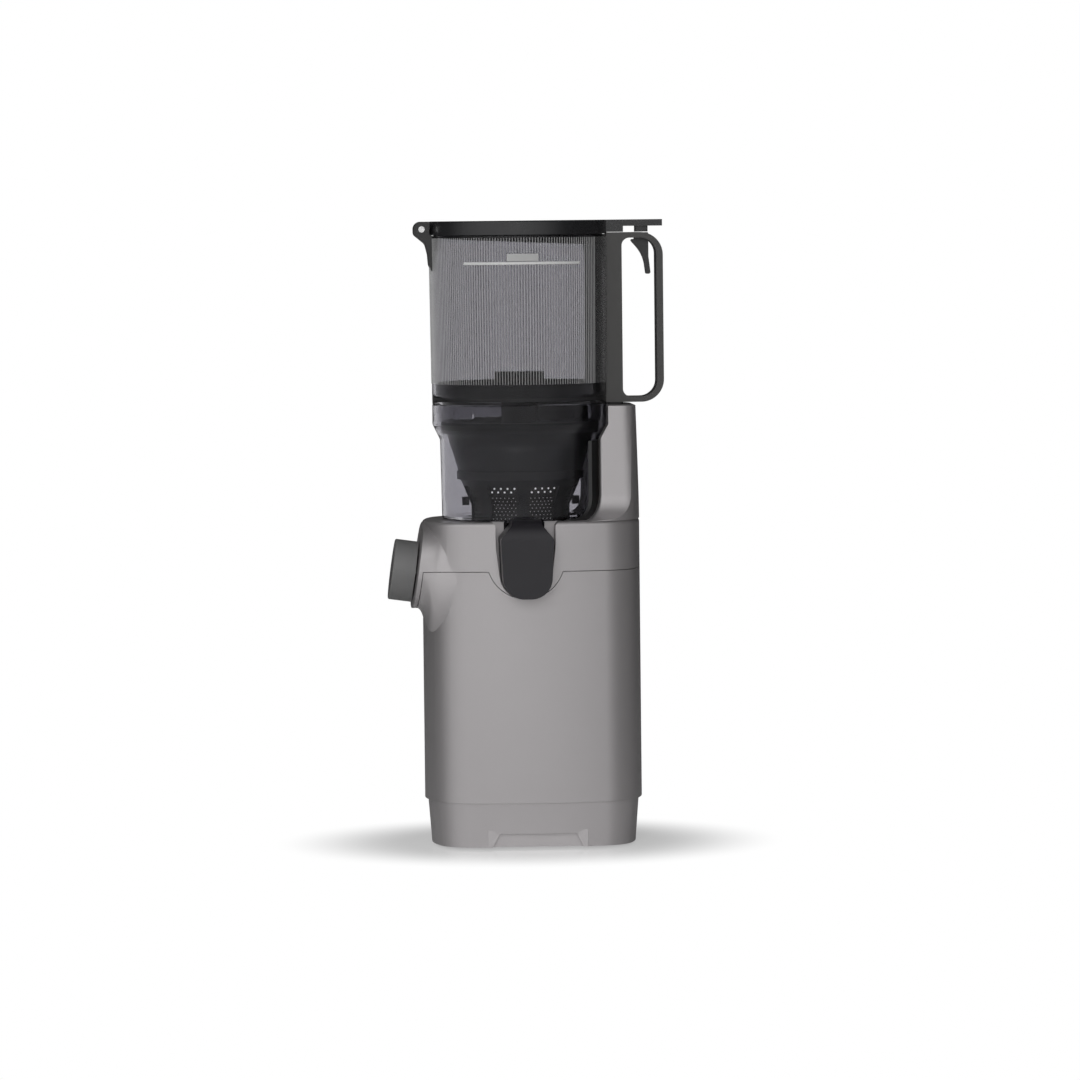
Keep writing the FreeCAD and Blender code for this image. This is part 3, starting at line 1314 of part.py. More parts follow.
def make_auger():
    auger = new_body("auger")
    steps = int(SIZES["auger_steps"])
    sections = []
    for step in range(steps + 1):
        share = f"({step} / auger_steps)"
        sketch = sketch_on(auger, "XY_Plane", f"{AUGER_LOW} + auger_h * {share}")
        turn = f"auger_turns * 360 * {share}"
        sketch.AttachmentOffset = Placement(sketch.AttachmentOffset.Base, Rotation(Vector(0, 0, 1), value(turn)))
        sketch.setExpression("AttachmentOffset.Rotation.Angle", full(turn))
        flight_section(sketch, f"(auger_core_r + (auger_core_top_r - auger_core_r) * {share})",
                       f"(auger_r + (auger_top_r - auger_r) * {share})")
        sections.append(sketch)
    loft(auger, sections)
    hub_room = f"({SUMP_FLOOR} + hub_h + 2 * bowl_seat_gap)"
    recess = sketch_on(auger, "XY_Plane", hub_room)
    circle(recess, "hub_r + 2 * bowl_seat_gap")
    pocket(auger, recess, "hub_h * 2")
    socket = sketch_on(auger, "XY_Plane", f"{SUMP_FLOOR} + hub_h + hex_l + 2 * bowl_seat_gap")
    hexagon(socket, "(hex_af + hex_gap)")
    pocket(auger, socket, "hex_l + 1")
    keep("auger", auger)

    head = turned("auger_head", ring_section("0", "head_r", AUGER_TOP, f"{AUGER_TOP} + head_h"))
    cap = sketch_on(head, "XY_Plane", f"{AUGER_TOP} + head_h")
    box_outline(cap, "-head_cap_l / 2", "-head_cap_w / 2", "head_cap_l / 2", "head_cap_w / 2", "head_cap_w * 0.4")
    pad(head, cap, "head_cap_h")
    wing = sketch_on(head, "XZ_Plane")
    outline(wing, [("0", AUGER_TOP), ("wing_r", f"{AUGER_TOP} + head_cap_h / 5"),
                   ("wing_r", f"{AUGER_TOP} + wing_h", "3"), ("0", f"{AUGER_TOP} + head_h * 0.8")])
    pad(head, wing, "wing_t", middle=True)
    keep("auger_head", head)


# Hopper, handle, lever and lid


def make_hopper():
    skirt_low = f"({BOWL_TOP} - hopper_skirt_h)"
    skirt_in = "(hopper_skirt_r - hopper_wall)"
    floor = f"({BOWL_TOP} + hopper_wall)"
    hopper = turned("hopper", [
        (skirt_in, skirt_low), ("hopper_skirt_r", skirt_low), ("hopper_skirt_r", BOWL_TOP),
        ("hopper_low_r", BOWL_TOP), ("hopper_r", MOUTH, "0.8"), ("hopper_r - hopper_wall", MOUTH, "0.8"),
        ("hopper_low_r - hopper_wall", f"{floor} + 3", "3"), (skirt_in, floor)])
    lugs = sketch_on(hopper, "XY_Plane", f"{skirt_low} + lug_gap")
    wedge(lugs, "(hopper_skirt_r - hopper_wall / 2)", "(hopper_skirt_r + lug_out)", "45", "lug_w")
    lug = pad(hopper, lugs, "lug_h")
    polar(hopper, [lug], "lug_count")
    keep("hopper", hopper)


def hopper_side(label):
    """The space of the hopper and its lid, which the pieces on its side are cut to."""
    lid_r = "(hopper_r + lid_gap)"
    low_r = "(hopper_low_r + pin_clearance)"
    return turned(label, [("0", f"{BOWL_TOP} - 10"), (low_r, f"{BOWL_TOP} - 10"), (low_r, BOWL_TOP),
                          ("hopper_r + pin_clearance", MOUTH), (lid_r, MOUTH), (lid_r, f"{TOP} + 5"),
                          ("0", f"{TOP} + 5")])


def cross_pin(label, diameter, length, x, z):
    """A pin that lies across the juicer, kept at its place beside the drive axis."""
    pin = new_body(label)
    sketch = sketch_on(pin, "XZ_Plane")
    circle(sketch, f"{diameter} / 2", x, z)
    pad(pin, sketch, length, middle=True)
    return pin


def make_handle():
    foot = f"({BOWL_TOP} + lid_gap)"
    frame = new_body("handle_frame")
    sketch = sketch_on(frame, "XZ_Plane")
    outline(sketch, [("handle_in - hopper_wall", foot), ("handle_reach", foot, "handle_r"),
                     ("handle_reach", HANDLE_TOP, "handle_r"), ("handle_in - hopper_wall", HANDLE_TOP)])
    solid = pad(frame, sketch, "handle_w", middle=True)
    grip = sketch_on(frame, "XZ_Plane")
    inner_x = "(handle_in + handle_spine)"
    outer_x = "(handle_reach - handle_bar)"
    curve = "(handle_r - handle_bar)"
    outline(grip, [(inner_x, f"{foot} + handle_top_bar", "handle_inner_r"),
                   (outer_x, f"{foot} + handle_top_bar", curve), (outer_x, f"{HANDLE_TOP} - handle_top_bar", curve),
                   (inner_x, f"{HANDLE_TOP} - handle_top_bar", "handle_inner_r")])
    pocket(frame, grip, "2 * handle_w", middle=True)
    slot = sketch_on(frame, "XY_Plane", f"{HANDLE_TOP} + 1")
    reach = "(lever_w / 2 + 1.6)"
    box_outline(slot, f"lever_x - {reach}", "-handle_slot_w / 2", f"lever_x + {reach}", "handle_slot_w / 2")
    pocket(frame, slot, "2 * handle_top_bar")
    pin_hole = cross_pin("lever_pin_hole", "lever_pin_d", "handle_w - 3", "lever_x", "lever_z")
    keep("handle", cut("handle_body", frame, combine("MultiFuse", "handle_cuts", [hopper_side("handle_side"),
                                                                                pin_hole])))
    keep("lever_pin", cross_pin("lever_pin_rod", "lever_pin_d", "handle_w - 3", "lever_x", "lever_z"))

    tongue = new_body("interlock_tongue")
    sketch = sketch_on(tongue, "XY_Plane", f"{TOWER_TOP} + tongue_gap")
    box_outline(sketch, "collar_r + 0.5", "-interlock_w / 3", "collar_r + 0.5 + interlock_l", "interlock_w / 3", "2")
    pad(tongue, sketch, f"{foot} - {TOWER_TOP} - tongue_gap")
    keep("interlock_tongue", tongue)

    lever = new_body("release_lever")
    top = f"({HANDLE_TOP} - 0.2)"
    sketch = sketch_on(lever, "XZ_Plane")
    left = "(lever_x - lever_w / 2)"
    right = "(lever_x + lever_w / 2)"
    head_low = f"({top} - lever_head_h)"
    knuckle = "(lever_tip_z + lever_finger_h)"
    tip = f"({right} + lever_sweep)"
    outline(sketch, [(left, top, "1"), (right, top, "1"), (right, knuckle, "3"),
                     (tip, "lever_tip_z", "lever_tip_w * 0.4"),
                     (f"{tip} - lever_tip_w", "lever_tip_z", "lever_tip_w * 0.3"),
                     (f"{right} - lever_finger_t", f"{knuckle} + lever_sweep", "2 * lever_finger_h"),
                     (f"{left} - lever_catch", f"{head_low} - 0.5", "1"), (left, head_low)])
    pad(lever, sketch, "lever_t", middle=True)
    bore = sketch_on(lever, "XZ_Plane")
    circle(bore, "lever_pin_d / 2 + pin_clearance", "lever_x", "lever_z")
    pocket(lever, bore, "2 * lever_t", middle=True)
    keep("release_lever", lever)


def make_lid():
    low = f"({MOUTH} + lid_gap)"
    plate = f"({TOP} - lid_t)"
    tab_low = f"({TOP} - lid_tab_t)"
    lid = turned("lid_cap", [
        ("hopper_r - lid_wall", low), ("hopper_r", low), ("hopper_r", TOP, "1.6"), ("0", TOP), ("0", plate),
        ("hopper_r - lid_wall", plate)])
    tab = sketch_on(lid, "XY_Plane", tab_low)
    box_outline(tab, "hopper_r - lid_wall / 2", "-lid_tab_w / 2", "lid_tab_reach", "lid_tab_w / 2")
    pad(lid, tab, "lid_tab_t")
    step = sketch_on(lid, "XY_Plane", f"{HANDLE_TOP} + lid_gap")
    box_outline(step, "hopper_r - lid_wall / 2", "-lid_tab_w / 2", "lid_step_out", "lid_tab_w / 2")
    pad(lid, step, f"{tab_low} - {HANDLE_TOP} - lid_gap")
    post = sketch_on(lid, "XY_Plane", f"{HANDLE_TOP} + lid_gap")
    post_half = "(lever_w / 2 - tongue_gap)"
    box_outline(post, f"lever_x - {post_half}", "-lever_t / 2", f"lever_x + {post_half}", "lever_t / 2", "1")
    pad(lid, post, f"{tab_low} - {HANDLE_TOP} - lid_gap")
    arm = sketch_on(lid, "XZ_Plane")
    box_outline(arm, "-hinge_x", "hinge_z", "-(hopper_r - lid_wall / 2)", "hinge_z + hinge_knuckle_r")
    pad(lid, arm, "hinge_slot - 2 * hinge_gap", middle=True)
    knuckle = sketch_on(lid, "XZ_Plane")
    circle(knuckle, "hinge_knuckle_r", "-hinge_x", "hinge_z")
    pad(lid, knuckle, "hinge_slot - 2 * hinge_gap", middle=True)
    bore = sketch_on(lid, "XZ_Plane")
    circle(bore, "hinge_pin_d / 2 + pin_clearance", "-hinge_x", "hinge_z")
    pocket(lid, bore, "hinge_w", middle=True)
    keep("lid", lid)

    outer = "(hopper_r - hopper_wall - lid_skirt_gap)"
    skirt = turned("lid_skirt", ring_section(f"{outer} - lid_skirt_t", outer, f"{MOUTH} - lid_skirt_back", plate))
    slant = sketch_on(skirt, "XZ_Plane")
    beyond = f"({outer} + lid_skirt_t)"
    deep = f"({MOUTH} - 2 * lid_skirt_back)"
    outline(slant, [(f"-{beyond}", deep), (beyond, deep), (beyond, f"{MOUTH} - lid_skirt_back"),
                    (f"-{beyond}", f"{MOUTH} - lid_skirt_front")])
    pocket(skirt, slant, "3 * hopper_r", middle=True)
    keep("lid_skirt", skirt)


def make_hinge():
    body = new_body("hinge_block")
    sketch = sketch_on(body, "XZ_Plane")
    left = "-(hinge_x + hinge_knuckle_r)"
    top = "(hinge_z + hinge_knuckle_r)"
    round_r = "(hinge_knuckle_r * 0.98)"
    right = "-(hinge_x - hinge_knuckle_r)"
    arm_low = "(hinge_z - 0.7 * hinge_knuckle_r)"
    inside = "-(hopper_r - 2 * hopper_wall)"
    leaf_low = "(hinge_z - hinge_leaf_h)"
    outline(sketch, [(left, top, round_r), (right, top, round_r), (right, arm_low), (inside, arm_low),
                     (inside, leaf_low), ("-(hopper_r - hinge_leaf_t)", leaf_low),
                     ("-(hopper_r + hinge_leaf_t / 2)", f"{leaf_low} + 0.16 * hinge_leaf_h"),
                     ("-(hopper_r + hinge_leaf_t)", f"{leaf_low} + 0.39 * hinge_leaf_h", "4"),
                     ("-(hopper_r + hinge_neck_t)", "hinge_z - hinge_neck_h", "6"), (left, arm_low, "4")])
    pad(body, sketch, "hinge_w", middle=True)
    slot = sketch_on(body, "XZ_Plane")
    box_outline(slot, "-(hinge_x + 2 * hinge_knuckle_r)", "hinge_z - hinge_knuckle_r - 2 * hinge_gap",
                inside, "hinge_z + 2 * hinge_knuckle_r")
    pocket(body, slot, "hinge_slot", middle=True)
    bore = sketch_on(body, "XZ_Plane")
    circle(bore, "hinge_pin_d / 2", "-hinge_x", "hinge_z")
    pocket(body, bore, "2 * hinge_w", middle=True)
    keep("hinge_bracket", cut("hinge_bracket_body", body, hopper_side("hinge_side")))
    keep("hinge_pin", cross_pin("hinge_pin_rod", "hinge_pin_d", "hinge_w + 2", "-hinge_x", "hinge_z"))


make_body_shells()
make_foot_ring()
make_bottom_plate()
make_cradle_panel()
make_knob()
make_electrics()
make_motor()
make_gears()
make_gearbox()
make_bowl()
make_spout("juice_spout", "spout_neck_w", "-")
make_spout("pulp_spout", "pulp_neck_w", "")
make_strainer()
make_auger()
make_hopper()
make_handle()
make_lid()
make_hinge()


def write_parts():
    doc.recompute()
    failed = [thing.Name for thing in doc.Objects if "Invalid" in thing.State or "Error" in thing.State]
    if failed:
        raise RuntimeError(f"these did not build: {failed}")
    os.makedirs("parts", exist_ok=True)
    for piece in PARTS:
        shape = piece.Shape
        if shape.isNull() or not shape.isValid() or not shape.Solids:
            raise RuntimeError(f"{piece.Label} is not a valid solid")
        shape.exportStep(f"parts/{piece.Label}.step")
    print(len(PARTS), "pieces")


write_parts()
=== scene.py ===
import json
import math

import bmesh
import bpy
from mathutils import Matrix, Vector


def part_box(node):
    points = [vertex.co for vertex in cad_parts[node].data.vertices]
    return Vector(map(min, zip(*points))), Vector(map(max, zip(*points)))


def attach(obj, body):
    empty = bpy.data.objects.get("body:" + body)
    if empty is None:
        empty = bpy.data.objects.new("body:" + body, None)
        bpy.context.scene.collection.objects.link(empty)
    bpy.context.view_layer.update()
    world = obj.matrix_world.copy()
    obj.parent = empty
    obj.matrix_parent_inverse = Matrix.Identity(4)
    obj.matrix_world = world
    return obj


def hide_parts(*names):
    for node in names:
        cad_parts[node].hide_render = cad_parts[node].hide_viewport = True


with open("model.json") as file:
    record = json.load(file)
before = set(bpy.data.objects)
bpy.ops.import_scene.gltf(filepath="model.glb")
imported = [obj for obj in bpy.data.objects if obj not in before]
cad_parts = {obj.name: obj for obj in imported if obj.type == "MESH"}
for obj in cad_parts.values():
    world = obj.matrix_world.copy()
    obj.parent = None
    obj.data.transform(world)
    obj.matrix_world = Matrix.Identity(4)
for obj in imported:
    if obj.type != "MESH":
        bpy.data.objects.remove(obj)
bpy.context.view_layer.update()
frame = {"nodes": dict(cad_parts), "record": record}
nodes = frame["nodes"]

MM = 0.001
shaft_low, shaft_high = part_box("drive_shaft")
AXIS_X = (shaft_low[0] + shaft_high[0]) / 2


def tone(level, warmth=0.0, green=0.0):
    """A grey of the given screen level, a little warmer or cooler, as a linear colour."""
    levels = (level * (1 + warmth), level * (1 + green), level * (1 - warmth))
    return tuple(((c / 255 + 0.055) / 1.055) ** 2.4 for c in levels) + (1,)


# Shared effects, as node groups


def effect_group(name, inputs, outputs):
    group = bpy.data.node_groups.new(name, "ShaderNodeTree")
    for label, kind, start in inputs:
        socket = group.interface.new_socket(label, in_out="INPUT", socket_type=kind)
        if start is not None:
            socket.default_value = start
    for label, kind in outputs:
        group.interface.new_socket(label, in_out="OUTPUT", socket_type=kind)
    return group, group.nodes.new("NodeGroupInput"), group.nodes.new("NodeGroupOutput")


def node_of(tree, kind):
    return next(node for node in tree.nodes if node.type == kind)


def maths(tree, operation, first, second, third=None):
    """The output of one math node, whose inputs are numbers or other outputs."""
    node = tree.nodes.new("ShaderNodeMath")
    node.operation = operation
    for socket, value in zip(node.inputs, (first, second, third)):
        if value is None:
            continue
        if isinstance(value, (int, float)):
            socket.default_value = value
        else:
            tree.links.new(value, socket)
    return node.outputs[0]


def noise(tree, vector, scale, detail):
    node = tree.nodes.new("ShaderNodeTexNoise")
    node.inputs["Detail"].default_value = detail
    tree.links.new(vector, node.inputs["Vector"])
    if isinstance(scale, (int, float)):
        node.inputs["Scale"].default_value = scale
    else:
        tree.links.new(scale, node.inputs["Scale"])
    return node.outputs["Fac"]


BROAD_SCALE = 14.0
LINE_SPREAD = 0.25
COAT_ROUGHNESS = 0.12
WAVE_SCALE = 60.0
WAVE_VARIATION = 0.03
CLEAR_IOR = 1.3


def make_grain_group():
    """Fine moulded or sprayed grain: a bump, and a roughness and shade that vary with it."""
    group, given, result = effect_group(
        "moulded_grain",
        [("Vector", "NodeSocketVector", None), ("Colour", "NodeSocketColor", (0.5, 0.5, 0.5, 1)),
         ("Scale", "NodeSocketFloat", 1500.0), ("Depth", "NodeSocketFloat", 0.00002),
         ("Roughness", "NodeSocketFloat", 0.4), ("Variation", "NodeSocketFloat", 0.05)],
        [("Colour", "NodeSocketColor"), ("Roughness", "NodeSocketFloat"), ("Normal", "NodeSocketVector")])
    fine = noise(group, given.outputs["Vector"], given.outputs["Scale"], 3.0)
    broad = noise(group, given.outputs["Vector"], BROAD_SCALE, 3.0)
    bump = group.nodes.new("ShaderNodeBump")
    bump.inputs["Strength"].default_value = 1.0
    group.links.new(given.outputs["Depth"], bump.inputs["Distance"])
    group.links.new(fine, bump.inputs["Height"])
    group.links.new(bump.outputs["Normal"], result.inputs["Normal"])
    drift = maths(group, "MULTIPLY", maths(group, "SUBTRACT", broad, 0.5), given.outputs["Variation"])
    speck = maths(group, "MULTIPLY", maths(group, "SUBTRACT", fine, 0.5), given.outputs["Variation"])
    change = maths(group, "ADD", drift, speck)
    group.links.new(maths(group, "ADD", given.outputs["Roughness"], change), result.inputs["Roughness"])
    shade = maths(group, "ADD", 1.0, change)
    scaled = group.nodes.new("ShaderNodeVectorMath")
    scaled.operation = "SCALE"
    group.links.new(given.outputs["Colour"], scaled.inputs[0])
    group.links.new(shade, scaled.inputs["Scale"])
    group.links.new(scaled.outputs[0], result.inputs["Colour"])
    return group


def make_turned_group():
    """Fine rings or lines left by turning and brushing, along one direction."""
    group, given, result = effect_group(
        "machined_lines",
        [("Vector", "NodeSocketVector", None), ("Scale", "NodeSocketFloat", 3000.0),
         ("Depth", "NodeSocketFloat", 0.00001), ("Roughness", "NodeSocketFloat", 0.3)],
        [("Roughness", "NodeSocketFloat"), ("Normal", "NodeSocketVector")])
    lines = noise(group, given.outputs["Vector"], given.outputs["Scale"], 4.0)
    bump = group.nodes.new("ShaderNodeBump")
    group.links.new(given.outputs["Depth"], bump.inputs["Distance"])
    group.links.new(lines, bump.inputs["Height"])
    group.links.new(bump.outputs["Normal"], result.inputs["Normal"])
    spread = maths(group, "MULTIPLY", maths(group, "SUBTRACT", lines, 0.5), LINE_SPREAD)
    group.links.new(maths(group, "ADD", given.outputs["Roughness"], spread), result.inputs["Roughness"])
    return group


GRAIN = make_grain_group()
LINES = make_turned_group()


def new_material(name):
    made = bpy.data.materials.new(name)
    made.use_nodes = True
    tree = made.node_tree
    shader = node_of(tree, "BSDF_PRINCIPLED")
    place = tree.nodes.new("ShaderNodeTexCoord")
    return made, tree, shader, place.outputs["Object"]


def stretched(tree, vector, scale):
    mapping = tree.nodes.new("ShaderNodeMapping")
    mapping.inputs["Scale"].default_value = scale
    tree.links.new(vector, mapping.inputs["Vector"])
    return mapping.outputs["Vector"]


def plastic(name, colour, roughness, scale=1500.0, depth=0.00002, variation=0.05, metallic=0.0, coat=0.0,
            stretch=None):
    """Moulded or painted plastic with a fine grain."""
    made, tree, shader, vector = new_material(name)
    if stretch is not None:
        vector = stretched(tree, vector, stretch)
    grain = tree.nodes.new("ShaderNodeGroup")
    grain.node_tree = GRAIN
    tree.links.new(vector, grain.inputs["Vector"])
    for label, value in (("Colour", colour), ("Scale", scale), ("Depth", depth), ("Roughness", roughness),
                         ("Variation", variation)):
        grain.inputs[label].default_value = value
    tree.links.new(grain.outputs["Colour"], shader.inputs["Base Color"])
    tree.links.new(grain.outputs["Roughness"], shader.inputs["Roughness"])
    tree.links.new(grain.outputs["Normal"], shader.inputs["Normal"])
    shader.inputs["Metallic"].default_value = metallic
    shader.inputs["Coat Weight"].default_value = coat
    shader.inputs["Coat Roughness"].default_value = COAT_ROUGHNESS
    return made


def metal(name, colour, roughness, stretch=(1, 1, 1), scale=1500.0, depth=0.00001):
    """Turned, brushed or cut metal."""
    made, tree, shader, vector = new_material(name)
    lines = tree.nodes.new("ShaderNodeGroup")
    lines.node_tree = LINES
    tree.links.new(stretched(tree, vector, stretch), lines.inputs["Vector"])
    for label, value in (("Scale", scale), ("Depth", depth), ("Roughness", roughness)):
        lines.inputs[label].default_value = value
    tree.links.new(lines.outputs["Roughness"], shader.inputs["Roughness"])
    tree.links.new(lines.outputs["Normal"], shader.inputs["Normal"])
    shader.inputs["Base Color"].default_value = colour
    shader.inputs["Metallic"].default_value = 1.0
    return made


def clear(name, colour, roughness, depth=0.000006):
    """Smoke-tinted clear plastic with the faint waves of a moulding."""
    made, tree, shader, vector = new_material(name)
    grain = tree.nodes.new("ShaderNodeGroup")
    grain.node_tree = GRAIN
    tree.links.new(vector, grain.inputs["Vector"])
    for label, value in (("Colour", colour), ("Scale", WAVE_SCALE), ("Depth", depth),
                         ("Roughness", roughness), ("Variation", WAVE_VARIATION)):
        grain.inputs[label].default_value = value
    tree.links.new(grain.outputs["Colour"], shader.inputs["Base Color"])
    tree.links.new(grain.outputs["Normal"], shader.inputs["Normal"])
    shader.inputs["Roughness"].default_value = roughness
    shader.inputs["Transmission Weight"].default_value = 1.0
    shader.inputs["IOR"].default_value = CLEAR_IOR
    return made


# After its colour and roughness, a plastic has the scale, depth and variation of its grain,
# and a metal the stretch, scale and depth of its lines

casing_paint = plastic("casing_paint", tone(182, 0.006, -0.012), 0.34, 2600.0, 0.00001, 0.05, metallic=0.65)
foot_paint = plastic("foot_paint", tone(192, 0.006, -0.012), 0.36, 2600.0, 0.00001, 0.05, metallic=0.65)
black_trim = plastic("black_trim", tone(40), 0.38, 1800.0, 0.00002, 0.08)
handle_black = plastic("handle_black", tone(66, 0.01), 0.42, 2200.0, 0.00002, 0.06)
lever_black = plastic("lever_black", tone(48), 0.42, 2200.0, 0.00002, 0.06)
lid_black = plastic("lid_black", tone(32, -0.03, -0.03), 0.28, 1200.0, 0.00001, 0.06, coat=0.3)
skirt_black = plastic("skirt_black", tone(24), 0.4, 1200.0, 0.000003, 0.06)
hood_smoke = plastic("hood_smoke", tone(30, -0.05, -0.1), 0.36, 900.0, 0.000006, 0.05)
strainer_black = plastic("strainer_black", tone(44, -0.04, -0.04), 0.4, 1400.0, 0.000003, 0.08)
auger_black = plastic("auger_black", tone(8, -0.1, -0.1), 0.55, 1400.0, 0.000003, 0.08)
knob_grey = plastic("knob_grey", tone(122), 0.48, 900.0, 0.00006, 0.16, metallic=0.3, stretch=(1, 4, 4))
rubber = plastic("foot_rubber", tone(38), 0.7, 900.0, 0.00004, 0.1)
board_green = plastic("board_green", (0.012, 0.09, 0.03, 1), 0.35, 700.0, 0.00002, 0.1)
part_black = plastic("part_black", tone(45), 0.4, 900.0, 0.00002, 0.1)
gear_nylon = plastic("gear_nylon", tone(215, 0.02), 0.45, 1500.0, 0.00001, 0.05)
mark_white = plastic("mark_white", tone(205), 0.5, 1500.0, 0.00001, 0.04)
patch_white = plastic("patch_white", tone(172), 0.5, 1500.0, 0.00001, 0.04)
cap_metal = metal("cap_metal", tone(176), 0.32, (1, 1, 20), 900.0)
bright_steel = metal("bright_steel", tone(222), 0.22)
dark_steel = metal("dark_steel", tone(150), 0.38)
screen_steel = metal("screen_steel", tone(78), 0.5)
cast_metal = metal("cast_metal", tone(170), 0.5, (1, 1, 1), 500.0, 0.00006)
iron_sheets = metal("iron_sheets", tone(120), 0.45, (1, 1, 60), 60.0, 0.00004)
copper_wire = metal("copper_wire", (0.55, 0.19, 0.07, 1), 0.35, (1, 1, 1), 800.0, 0.00008)
clear_hopper = clear("clear_hopper", tone(176, -0.01, -0.015), 0.03, 0.0000005)
clear_bowl = clear("clear_bowl", tone(190, -0.01, -0.015), 0.02, 0.0000005)


def painted_rib_highlight(name, level, alpha):
    """A pale colour on a rib of the clear plastic, a painted highlight, which lets most of what lies behind
    it through.
    """
    made = plastic(name, tone(level), 0.35, 1200.0, 0.000004, 0.04)
    shader = node_of(made.node_tree, "BSDF_PRINCIPLED")
    shader.inputs["Alpha"].default_value = alpha
    return made


# Painted highlights on the ribs: a pale one, and a dimmer, more see-through one for the ribs in the painted
# shade behind the handle
rib_highlight_paint = painted_rib_highlight("rib_highlight_paint", 214, 0.36)
rib_shaded_highlight_paint = painted_rib_highlight("rib_shaded_highlight_paint", 150, 0.14)

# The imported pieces, smoothed and given their finish

FINISHES = {
    casing_paint: ["lower_casing", "upper_cover"],
    foot_paint: ["foot_ring"],
    black_trim: ["bottom_plate", "cradle_panel", "hinge_bracket", "interlock_tongue", "cooling_fan"],
    handle_black: ["handle"],
    lever_black: ["release_lever"],
    lid_black: ["lid"],
    skirt_black: ["lid_skirt"],
    hood_smoke: ["juice_spout", "pulp_spout"],
    strainer_black: ["strainer_frame"],
    auger_black: ["auger", "auger_head"],
    knob_grey: ["control_knob"],
    cap_metal: ["knob_cap"],
    rubber: ["rubber_feet", "rim_seal", "shaft_seal", "cord_gland"],
    board_green: ["control_board"],
    part_black: ["board_components", "rotary_switch", "interlock_switch"],
    gear_nylon: ["planet_gear_1", "planet_gear_2", "planet_gear_3"],
    bright_steel: ["hinge_pin", "lever_pin", "base_screws", "knob_shaft", "rotor_shaft", "drive_shaft",
                   "planet_pins", "motor_bearings", "output_bearing"],
    screen_steel: ["strainer_screen"],
    dark_steel: ["sun_gear", "planet_carrier", "ring_gear"],
    cast_metal: ["motor_cradle", "motor_bracket", "gearbox_housing", "gearbox_lid"],
    iron_sheets: ["motor_stator", "motor_rotor"],
    copper_wire: ["stator_coils"],
    clear_bowl: ["juicing_bowl"],
}
WELD = 0.003 * MM
SPIN_WELD = 0.01 * MM
BODIES = {node: body for body, members in frame["record"]["behaviour"]["bodies"].items() for node in members}


def new_piece(name, bm, material, body, standing_for=()):
    mesh = bpy.data.meshes.new(name)
    bm.to_mesh(mesh)
    bm.free()
    mesh.materials.append(material)
    piece = bpy.data.objects.new(name, mesh)
    bpy.context.scene.collection.objects.link(piece)
    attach(piece, body)
    if standing_for:
        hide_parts(*standing_for)
    return piece


def soften(bm, angle):
    """Smooth faces, with sharp edges where they turn by more than the angle."""
    for face in bm.faces:
        face.smooth = True
    for edge in bm.edges:
        edge.smooth = len(edge.link_faces) == 2 and edge.calc_face_angle(0) < math.radians(angle)


def even_normals(piece):
    weighted = piece.modifiers.new("even_normals", "WEIGHTED_NORMAL")
    weighted.keep_sharp = True
    return piece


def smoothed(node, material, angle=28):
    bm = bmesh.new()
    bm.from_mesh(nodes[node].data)
    bmesh.ops.remove_doubles(bm, verts=bm.verts, dist=WELD)
    soften(bm, angle)
    for face in bm.faces:
        face.material_index = 0
    return even_normals(new_piece("smooth_" + node, bm, material, BODIES[node], [node]))


for material, names in FINISHES.items():
    for node in names:
        smoothed(node, material)


# Hopper


def turned_profile(bm, corners, steps, angle=math.tau, start=0.0):
    """A closed profile of (radius, height) in millimetres, turned about the drive axis."""
    spots = [bm.verts.new((r * MM * math.cos(start), r * MM * math.sin(start), z * MM)) for r, z in corners]
    edges = [bm.edges.new((spots[i], spots[(i + 1) % len(spots)])) for i in range(len(spots))]
    geometry = spots + edges
    whole = abs(angle - math.tau) < 1e-6
    if not whole:
        geometry.append(bm.faces.new(spots))
    bmesh.ops.spin(bm, geom=geometry, cent=(0, 0, 0), axis=(0, 0, 1), angle=angle, steps=steps,
                   use_merge=whole)
    bmesh.ops.remove_doubles(bm, verts=bm.verts, dist=SPIN_WELD)
    bmesh.ops.recalc_face_normals(bm, faces=bm.faces)


def onto_axis(bm):
    bmesh.ops.translate(bm, verts=bm.verts, vec=(AXIS_X, 0, 0))


RIBS = 196
RIB_LOW, RIB_HIGH = 356.0, 468.0
RIB_RISE = 0.42
RIB_W = 0.85
RIB_CREST = [(-0.5, -0.3), (-0.3, 0.75), (0.0, 1.0), (0.3, 0.75), (0.5, -0.3)]
PATCH_X = 12.5
PATCH_Z = (448.0, 456.5)
SKIRT_R, SKIRT_IN_R = 62.8, 60.3
SKIRT_FOOT, LEDGE, SHOULDER, MOUTH = 326.6, 342.5, 340.1, 470.0
WALL_FOOT, WALL_FOOT_R, WALL_FLARE = 340.0, 67.4, 1.2
MOUTH_R, MOUTH_IN_R = 68.4, 66.1
EDGE = 0.4
# Rings up the outer wall, closer where the ribs and the bare patch begin and end
WALL_RINGS = [343.0, 350.0, RIB_LOW, RIB_LOW + 0.8, 400.0, 430.0, PATCH_Z[0] - 0.6, PATCH_Z[0], PATCH_Z[1],
              PATCH_Z[1] + 0.6, RIB_HIGH - 0.8, RIB_HIGH]
INNER_CURVE = [(65.9, 440.0), (65.2, 370.0), (64.9, 348.0), (64.5, 344.5), (63.2, 342.8)]
# A dark ring just inside the foot of the wall, which paints the shade there
FOOT_SHADE_PROFILE = [(64.6, 342.8), (64.7, 355.6), (63.4, 356.2), (62.2, 342.8)]
# A dark strip just inside the wall behind the handle, which paints the shade there
HANDLE_SHADE_PROFILE = [(64.4, 346.0), (64.9, 346.0), (65.4, 461.0), (64.9, 461.0)]
# Half the arc, each way from the handle, over which the wall has painted shade
PAINTED_SHADE_TURN = math.radians(33)
MARK_ROOT = 0.3
MARK_EDGE = 0.2
